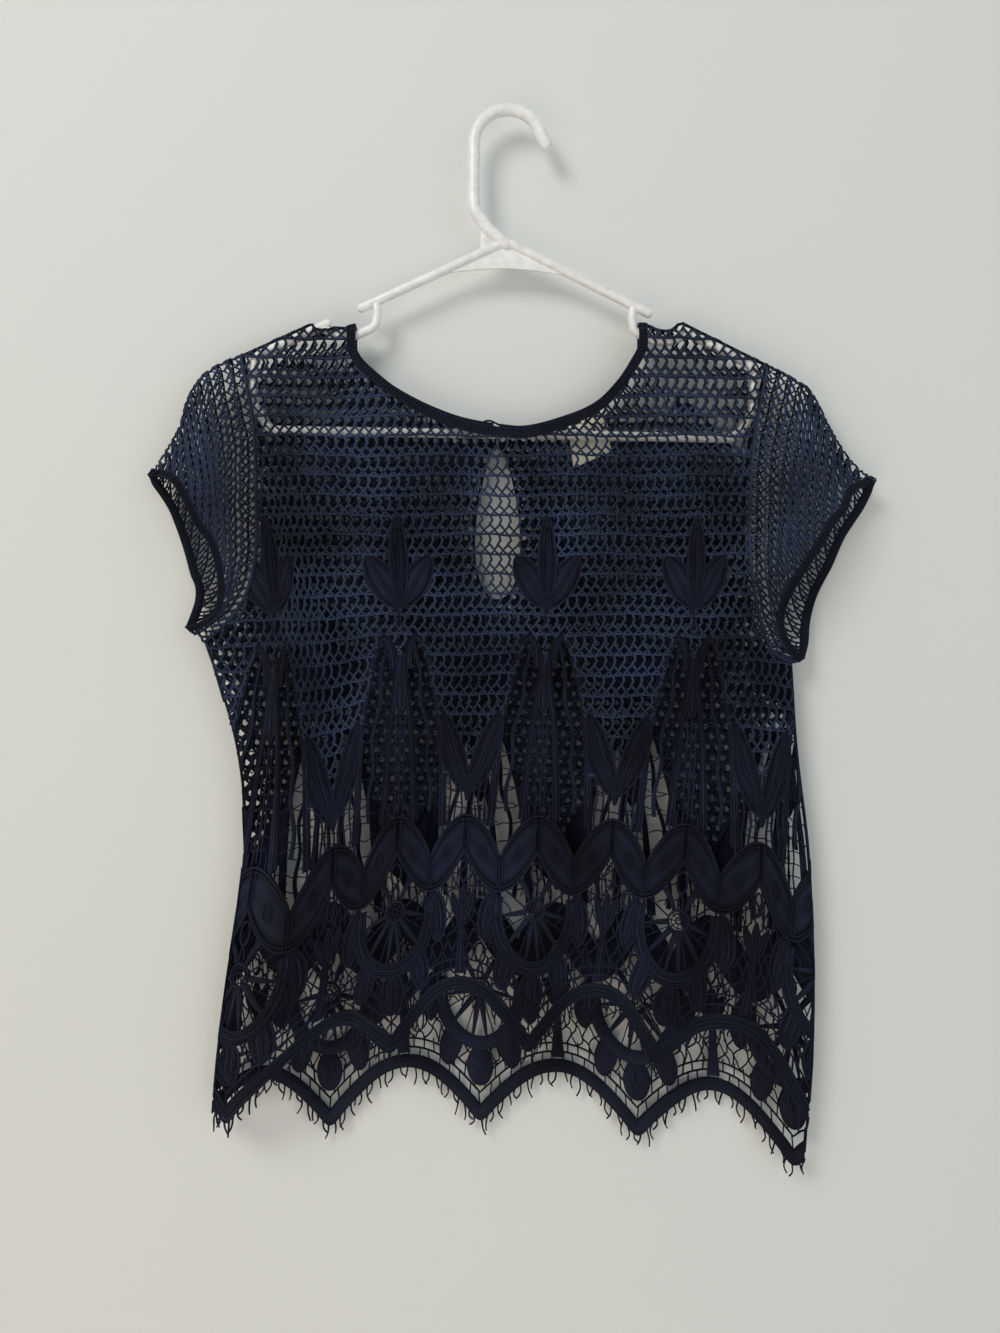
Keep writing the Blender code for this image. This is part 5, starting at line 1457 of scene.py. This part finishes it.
def sleeve_pieces(side):
    word = "left" if side < 0 else "right"
    sleeve = Sleeve(side)
    lace = Lace(sleeve.place, sleeve.normal)

    def wanted(points):
        s, h = points[:, 0], points[:, 1]
        return ((s > 0) & (s < sleeve.reach[-1]) & (h > 0)
                & (h < sleeve.width(s) - CUFF_WIDE + 1))

    batches, crossing = knit_lines(-10, sleeve.reach[-1] + 10, 0, sleeve.long.max() + 12,
                                   SLEEVE_PITCH, SLEEVE_ROW)
    for lines in batches:
        lace.threads(trimmed(lines, wanted), 0.92)
    lace.threads(trimmed(crossing, wanted), 0.85, lift=1.0)
    s = np.linspace(0.5, sleeve.reach[-1] - 0.5, 180)
    lace.threads([np.column_stack([s, 0 * s + 0.8])], 1.35, lift=0.9)
    net = lace.build("sleeve_net_" + word, KNIT_COTTON, ("sleeve_" + word,))
    cuff = Lace(sleeve.place, sleeve.normal)
    s = np.linspace(0.2, sleeve.reach[-1] - 0.2, 240)
    mouth = sleeve.width(s)
    across = np.linspace(-1, 1, 13)
    profile = [(a, 0.6 + 1.0 * abs(math.cos(math.pi * a)) ** 0.6) for a in across]
    cuff.strips([np.column_stack([s, mouth - CUFF_WIDE])],
                [np.column_stack([s, mouth - 0.1])], profile, lift=0.0)
    for back_by in (0.9, 6.2):
        cuff.threads([np.column_stack([s, mouth - back_by])], 0.95, lift=1.4)
    stitches = np.arange(1.5, sleeve.reach[-1] - 1.5, 2.9)[:, None]
    share = np.linspace(0, 1, 4)
    reach = sleeve.width(stitches)
    cuff.threads(np.stack([stitches + 0.8 * share, reach - 6.4 + 5.6 * share], axis=-1),
                 0.72, lift=1.9)
    band = cuff.build("cuff_band_" + word, BAND_COTTON, ("cuff_" + word,), "black_rib")
    return net, band


left_sleeve = sleeve_pieces(-1)
right_sleeve = sleeve_pieces(1)

# %% [markdown]
# ## Neck band and seams
#
# The neck is finished with a narrow band, worked across in short stitches between two
# cords. It goes up over the hanger's arms and round the back, where it is open over a
# keyhole and is closed by a button. The shoulder and side seams are single cords.


# %% Neck band
def over_the_arm(line, low, at_start):
    """The neck line carried on over the bend of the hanger's arm."""
    x = line[0 if at_start else -1][0]
    rise = np.array([(x, over_roll(x, low, turn)) for turn in (0, 22, 45, 68, 90)])
    return np.vstack([rise[::-1], line]) if at_start else np.vstack([line, rise])


def neck_part(lace, lines, low):
    """A band between the outer and inner neck lines, with cords and stitches."""
    outer, inner = lines
    profile = [(a, 0.9 + 0.6 * (1 - a * a)) for a in np.linspace(-1, 1, 7)]
    lace.strips([outer], [inner], profile, lift=0.0)
    for share in (0.08, 0.92):
        lace.threads([outer + (inner - outer) * share], 0.95, lift=1.5)
    fine = [spaced(line, 2.7) for line in lines]
    count = min(len(line) for line in fine)
    fine = [along(line, np.linspace(0.003, 0.997, count)) for line in fine]
    share = np.linspace(0.1, 0.9, 4)[:, None]
    lace.threads(fine[0][:, None] + (fine[1] - fine[0])[:, None] * share, 0.8, lift=1.7)


ahead = Lace(front, lambda s, h: outward(front, s, h))
neck_lines = [neck_line(FRONT_LOW, 0, inset) for inset in (0, NECK_BAND_WIDE)]
for start in (True, False):
    neck_lines = [over_the_arm(line, FRONT_LOW, start) for line in neck_lines]
neck_part(ahead, neck_lines, FRONT_LOW)
behind = Lace(back, lambda s, h: outward(back, s, h))
for keep, start in ((lambda x: x < KEYHOLE[0] - 0.7, True),
                    (lambda x: x > KEYHOLE[0] + 0.7, False)):
    parts = [neck_line(BACK_LOW, BACK_NECK_LIFT, inset) for inset in (0, NECK_BAND_WIDE)]
    parts = [over_the_arm(line[keep(line[:, 0])], BACK_LOW, start) for line in parts]
    count = max(len(part) for part in parts)
    parts = [along(part, np.linspace(0, 1, count)) for part in parts]
    neck_part(behind, parts, BACK_LOW)
ahead.build("neck_band_front", BAND_COTTON, ("neck_band",), "black_rib")
behind.build("neck_band_back", BAND_COTTON, (), "black_rib")


# %% Seams
def seam_piece(panel, name):
    lace = Lace(panel.place, lambda s, h: outward(panel.place, s, h))
    for x_from, x_to in ((NECK[0][0] - 6, STUB_NOTCH[1]),
                         (STUB_NOTCH[0], LEFT_ARMHOLE[0][0]),
                         (NECK[-1][0] + 6, RIGHT_ARMHOLE[0][0])):
        x = np.linspace(x_from, x_to, 30)
        lace.threads([np.column_stack([x, over_roll(x, panel.low, 82)])], 1.1, lift=0.7)
    left, right = STUB_NOTCH
    floor = notch_floor(panel.low) - 0.6
    ends = over_roll(np.array(STUB_NOTCH), panel.low, 82)
    rim = np.array([(left, ends[0]), (left + 0.8, floor + 2.5), (left + 4, floor),
                    (right - 4, floor - 0.5), (right - 0.8, floor + 1.5), (right, ends[1])])
    lace.threads([along(rim, np.linspace(0, 1, 24))], 1.1, lift=0.7)
    for k in (0, 1):
        h = np.linspace(panel.outline[:, 1].min() + 2, panel.sides[k][-1][0], 90)
        line = np.column_stack([lookup(h, panel.sides[k]) + (0.5 - k), h])
        line = line[h > raised_edge(line[:, 0], panel.repeats[2], 2)]
        lace.threads([line], 1.1, lift=0.5)
    for side in (-1, 1):
        line = armhole_line(side, panel.low, panel.lines, 70)
        lace.threads([line], 1.0, lift=0.8)
    if panel is BACK:
        x, bottom, tall, _ = KEYHOLE
        turn = np.linspace(0.12, 2 * math.pi - 0.12, 50)
        lace.threads([keyhole_drop(panel.low, turn)], 1.3, lift=1.0)
        edge = float(lookup(x, neck_line(panel.low, panel.lift, NECK_BAND_WIDE)))
        h = np.linspace(bottom - panel.low + tall - 1, edge, 6)
        for aside in (-1.7, 1.7):
            lace.threads([np.column_stack([x + aside + 0 * h, h])], 1.0, lift=1.0)
    return lace.build(name, BAND_COTTON, (), "black_rib")


front_seams = seam_piece(FRONT, "front_seams")
back_seams = seam_piece(BACK, "back_seams")

# %% [markdown]
# ## The hanger
#
# A common moulded hanger: round bars of white polypropylene, a hook, a notch under each
# arm for straps, and thin webs that stiffen the middle. The bars are smooth bevelled
# curves, turned into meshes and joined.


# %% Hanger
def rounded(corners, radius, steps):
    """A path through the corners, with each inner corner rounded."""
    path = [Vector(corners[0])]
    for before, at, after in zip(corners, corners[1:], corners[2:]):
        a, b, c = Vector(before), Vector(at), Vector(after)
        into, out = (b - a).normalized(), (c - b).normalized()
        cut = min(radius * math.tan(into.angle(out) / 2), (b - a).length * 0.49,
                  (c - b).length * 0.49)
        start, end = b - into * cut, b + out * cut
        for i in range(steps + 1):
            t = i / steps
            path.append((1 - t) ** 2 * start + 2 * t * (1 - t) * b + t * t * end)
    return path + [Vector(corners[-1])]


def bar(name, path, width, round_steps=20):
    """A round bar along x and z places, with rounded ends, as a mesh object."""
    curve = bpy.data.curves.new(name, "CURVE")
    curve.dimensions = "3D"
    curve.bevel_depth = width / 2 * MM
    curve.bevel_resolution = (round_steps - 4) // 2
    curve.use_fill_caps = True
    spline = curve.splines.new("POLY")
    first, last = Vector(path[0]), Vector(path[-1])
    into = (Vector(path[1]) - first).normalized()
    out = (last - Vector(path[-2])).normalized()
    # rings of a round end: how far out each is, and how wide, as shares of the radius
    ends = [(1.0, 0.25), (0.8, 0.62), (0.45, 0.9)]
    head = [first - into * (width / 2 * (r - 0.02)) for r, _ in ends]
    foot = [last + out * (width / 2 * (r - 0.02)) for r, _ in reversed(ends)]
    line = head + [Vector(p) for p in path] + foot
    sizes = [r for _, r in ends] + [1] * len(path) + [r for _, r in reversed(ends)]
    spline.points.add(len(line) - 1)
    for point, place, size in zip(spline.points, line, sizes):
        point.co = (place[0] * MM, 0, place[1] * MM, 1)
        point.radius = size
    made = bpy.data.objects.new(name, curve)
    bpy.context.scene.collection.objects.link(made)
    select_only(made)
    bpy.ops.object.convert(target="MESH")
    return bpy.context.view_layer.objects.active


def web(name, corners, thick):
    """A thin plate in the hanger's plane: a face, extruded and bevelled."""
    mesh = bpy.data.meshes.new(name)
    mesh.from_pydata([Vector((x, -thick / 2, z)) * MM for x, z in corners], [],
                     [tuple(range(len(corners)))])
    made = bpy.data.objects.new(name, mesh)
    bpy.context.scene.collection.objects.link(made)
    select_only(made)
    bpy.ops.object.mode_set(mode="EDIT")
    bpy.ops.mesh.select_all(action="SELECT")
    bpy.ops.mesh.extrude_region_move(
        TRANSFORM_OT_translate={"value": (0, thick * MM, 0)})
    bpy.ops.mesh.select_all(action="SELECT")
    bpy.ops.mesh.normals_make_consistent(inside=False)
    bpy.ops.object.mode_set(mode="OBJECT")
    edge = made.modifiers.new("edge", "BEVEL")
    edge.width = 0.6 * MM
    edge.segments = 2
    bpy.ops.object.modifier_apply(modifier="edge")
    return made


def tilted(along_bar, down):
    cos, sin = math.cos(HANGER_TILT), math.sin(HANGER_TILT)
    return (APEX[0] + along_bar * cos - down * sin, APEX[1] - along_bar * sin - down * cos)


def on_arm(distance, side, under=0.0):
    cos, sin = math.cos(ARM_SLOPE), math.sin(ARM_SLOPE)
    return tilted(side * (distance * cos - under * sin), distance * sin + under * cos)


# distances along an arm from the apex, to where its inner and outer bars end
INNER_ARM, OUTER_ARM, ARM_END = 127.0, 157.0, 222.0
STRAP_DIP = 18.0               # depth of the notch for straps
BAR_DROP = 153.5               # from the apex down to the low bar
BAR_END = (199.5, 133)         # where an arm turns down towards the low bar
HOOK_WIRE, STRAP_WIRE = 10.0, 7.0
HOOK_BEND = 27.3               # radius of the hook's bend
HOOK_TOP = 6.8
WEB = 2.2
inner = [on_arm(INNER_ARM, -1), tilted(-4, 1.5), tilted(4, 1.5), on_arm(INNER_ARM, 1)]
outer = [on_arm(OUTER_ARM, -1), on_arm(ARM_END, -1), tilted(-BAR_END[0], BAR_END[1]),
         tilted(-186, BAR_DROP), tilted(186, BAR_DROP), tilted(*BAR_END),
         on_arm(ARM_END, 1), on_arm(OUTER_ARM, 1)]
hook = [(31.5, -21.5)]
for degrees in range(20, 181, 5):
    a = math.radians(degrees)
    hook.append((1.0 + HOOK_BEND * math.cos(a),
                 HOOK_TOP - HOOK_BEND + HOOK_BEND * math.sin(a)))
hook += rounded([(-26.3, -24), (-26.4, -74), (-14, -90), (-0.8, -101)], 24, 8)[1:]
bars = [bar("hanger", rounded(outer, 13, 10), ARM_WIRE),
        bar("inner", rounded(inner, 12, 8), ARM_WIRE), bar("hook", hook, HOOK_WIRE, 24)]
for side in (-1, 1):
    strap = [on_arm(INNER_ARM - 13, side), on_arm(INNER_ARM - 10, side, 9),
             on_arm(INNER_ARM - 4, side, STRAP_DIP),
             on_arm(INNER_ARM + 13, side, STRAP_DIP),
             on_arm(INNER_ARM + 26, side, 12), on_arm(OUTER_ARM + 6, side, 1)]
    bars.append(bar("strap", rounded(strap, 9, 6), STRAP_WIRE))
wide, low = 49.0, 26.0
curve_down = [tilted(x, low - 4.7 * math.cos(math.pi / 2 * x / wide)) for x in
              np.linspace(-wide, wide, 17)]
bars.append(web("web", curve_down + [tilted(0, 1)], WEB))
bars.append(web("neck_web", [(-21.5, -106), (-20.5, -88), (-12, -92), (-3, -99)], WEB))
select_only(*bars)
bpy.ops.object.join()
hanger = bpy.context.view_layer.objects.active
hanger.name = hanger.data.name = "moulded_hanger"
bpy.ops.object.shade_smooth_by_angle(angle=math.radians(40))


def moulded_polypropylene():
    """White polypropylene, injection moulded: a soft gloss with faint flow ripples."""
    made, shader = new_material("white_polypropylene_moulded")
    place = add_node(made, "ShaderNodeTexCoord")
    flow = add_node(made, "ShaderNodeTexNoise", Vector=place.outputs["Object"], Scale=160.0,
                    Detail=2.0)
    tone = ramp_of(made, flow.outputs[0], "c8cac6", "f1f2f0")
    bump = add_node(made, "ShaderNodeBump", Height=flow.outputs[0], Strength=0.12,
                    Distance=0.0004)
    wire_up(made, shader, tone, bump, Roughness=0.3, IOR=1.49, Subsurface_Weight=0.08,
            Subsurface_Radius=(0.004, 0.004, 0.004))
    return made


hanger.data.materials.clear()
hanger.data.materials.append(moulded_polypropylene())
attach(hanger, "root")
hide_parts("hanger")
print("hanger faces", len(hanger.data.polygons))

# %% [markdown]
# ## Label, button and loop
#
# A blank woven label hangs inside the back of the neck. Outside, the back closes with a
# small black button and a cord loop, whose places are read from the frame's own boxes, so
# that they sit where the solids are. Known fault: the slack layer of the back's net comes
# through the label, and its threads show on the label's face from above.


# %% Label
def woven_label():
    """Cream polyester satin, woven on a narrow loom: fine ribs across the tape."""
    made, shader = new_material("polyester_satin_label")
    place = add_node(made, "ShaderNodeTexCoord")
    # ribs of 0.6 mm, drawn at twice their real width so that they show
    ribs = add_node(made, "ShaderNodeTexWave", {"bands_direction": "Z"},
                    Vector=place.outputs["Object"], Scale=260.0, Distortion=0.4)
    tone = ramp_of(made, ribs.outputs["Fac"], "cfcbb9", "e6e3d4")
    bump = add_node(made, "ShaderNodeBump", Height=ribs.outputs["Fac"], Strength=0.3,
                    Distance=0.0003)
    wire_up(made, shader, tone, bump, Roughness=0.6)
    return made


LABEL_WIDE, LABEL_TALL = 33, 40
LABEL_TOP = (63, -232)         # x and z of the middle of its top edge
LABEL_DEPTH = 5.0
LABEL_TURN = math.radians(24)


def make_label():
    bpy.ops.object.select_all(action="DESELECT")
    bpy.ops.mesh.primitive_grid_add(x_subdivisions=24, y_subdivisions=28, size=1)
    made = bpy.context.object
    made.name = made.data.name = "woven_label"
    cos, sin = math.cos(LABEL_TURN), math.sin(LABEL_TURN)
    for vert in made.data.vertices:
        across, down = vert.co.x * LABEL_WIDE, (0.5 - vert.co.y) * LABEL_TALL
        x = LABEL_TOP[0] + across * cos + down * sin * 0.35
        z = LABEL_TOP[1] + across * sin - down
        y = (LABEL_DEPTH - 0.3 * math.sin(math.pi * down / LABEL_TALL)
             + 0.12 * math.sin(across / 4))
        vert.co = Vector((x, y, z)) * MM
    wall = made.modifiers.new("wall", "SOLIDIFY")
    wall.thickness = 0.5 * MM
    wall.offset = 0
    bpy.ops.object.modifier_apply(modifier="wall")
    bpy.ops.object.shade_smooth_by_angle(angle=math.radians(50))
    made.data.materials.append(woven_label())
    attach(made, "root")
    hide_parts("label")
    return made


label = make_label()


# %% Button and loop
def black_polyester_button():
    """Cast polyester resin, tumbled to a gloss: a dark surface with a clear highlight."""
    made, shader = new_material("polyester_resin_button")
    place = add_node(made, "ShaderNodeTexCoord")
    cloud = add_node(made, "ShaderNodeTexNoise", Vector=place.outputs["Object"],
                     Scale=300.0)
    tone = ramp_of(made, cloud.outputs[0], "101116", "1c1d24")
    wire_up(made, shader, tone, Roughness=0.22, IOR=1.54)
    return made


def make_button():
    low, high = [np.array(v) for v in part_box("button")]
    middle, radius = (low + high) / 2, (high[0] - low[0]) / 2
    bpy.ops.object.select_all(action="DESELECT")
    bpy.ops.mesh.primitive_cylinder_add(vertices=48, radius=radius, depth=high[1] - low[1],
                                        location=middle, rotation=(-math.pi / 2, 0, 0))
    made = bpy.context.object
    made.name = made.data.name = "back_button"
    bpy.ops.object.transform_apply(location=True, rotation=True, scale=True)
    bpy.ops.object.mode_set(mode="EDIT")
    bpy.ops.mesh.select_mode(type="FACE")
    bpy.ops.mesh.select_all(action="DESELECT")
    bpy.ops.object.mode_set(mode="OBJECT")
    for face in made.data.polygons:
        face.select = face.normal.y > 0.9
    bpy.ops.object.mode_set(mode="EDIT")
    bpy.ops.mesh.inset(thickness=1.3 * MM)
    bpy.ops.transform.translate(value=(0, -0.7 * MM, 0))
    bpy.ops.object.mode_set(mode="OBJECT")
    edge = made.modifiers.new("edge", "BEVEL")
    edge.width = 0.45 * MM
    edge.segments = 3
    edge.limit_method = "ANGLE"
    bpy.ops.object.modifier_apply(modifier="edge")
    bpy.ops.object.shade_smooth_by_angle(angle=math.radians(35))
    made.data.materials.append(black_polyester_button())
    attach(made, "root")
    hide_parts("button")
    return made


def make_loop():
    """The cord loop round the button, thicker where it is sewn to the band."""
    low, high = [np.array(v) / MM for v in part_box("button_loop")]
    x, z = KEYHOLE[0] - 7.5, (low[2] + high[2]) / 2
    y = (low[1] + high[1]) / 2
    turns = np.radians(np.linspace(60, 300, 30))
    ring = np.column_stack([x + 7.2 * np.cos(turns), z + 7.2 * np.sin(turns)])
    line = np.vstack([[(x + 15.5, z + 2.4), (x + 9, z + 3.6)], ring,
                      [(x + 9, z - 3.6), (x + 15.5, z - 2.4)]])
    flat = Lace(lambda s, h: np.stack([s, y + 0 * s, h], axis=-1) * MM,
                lambda s, h: np.stack([0 * s, 1 + 0 * s, 0 * s], axis=-1))
    flat.threads([line], 0.8, lift=0, sides=8)
    return flat.build("button_loop_cord", BAND_COTTON, ("button_loop",), "black_rib")


button, loop = make_button(), make_loop()

# %% [markdown]
# ## Cloth sizes
#
# A piece of cloth's area should be that of its cut. Here it wasn't taken from the cut: it
# was set near half the thread's own measured surface, so that check compares the lace with
# itself. Sampled over the outlines above, the cuts are, in square metres: front knit
# 0.0995, back knit 0.1246, front motifs 0.1260 and back motifs 0.1179. The sleeves are
# about 0.022 and 0.025.


# %% Finish
visual_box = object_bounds()
for word, (low, high) in (("size", visual_box), ("the solids", cad_box)):
    print(word, [round((high[k] - low[k]) / MM, 1) for k in range(3)], "mm")
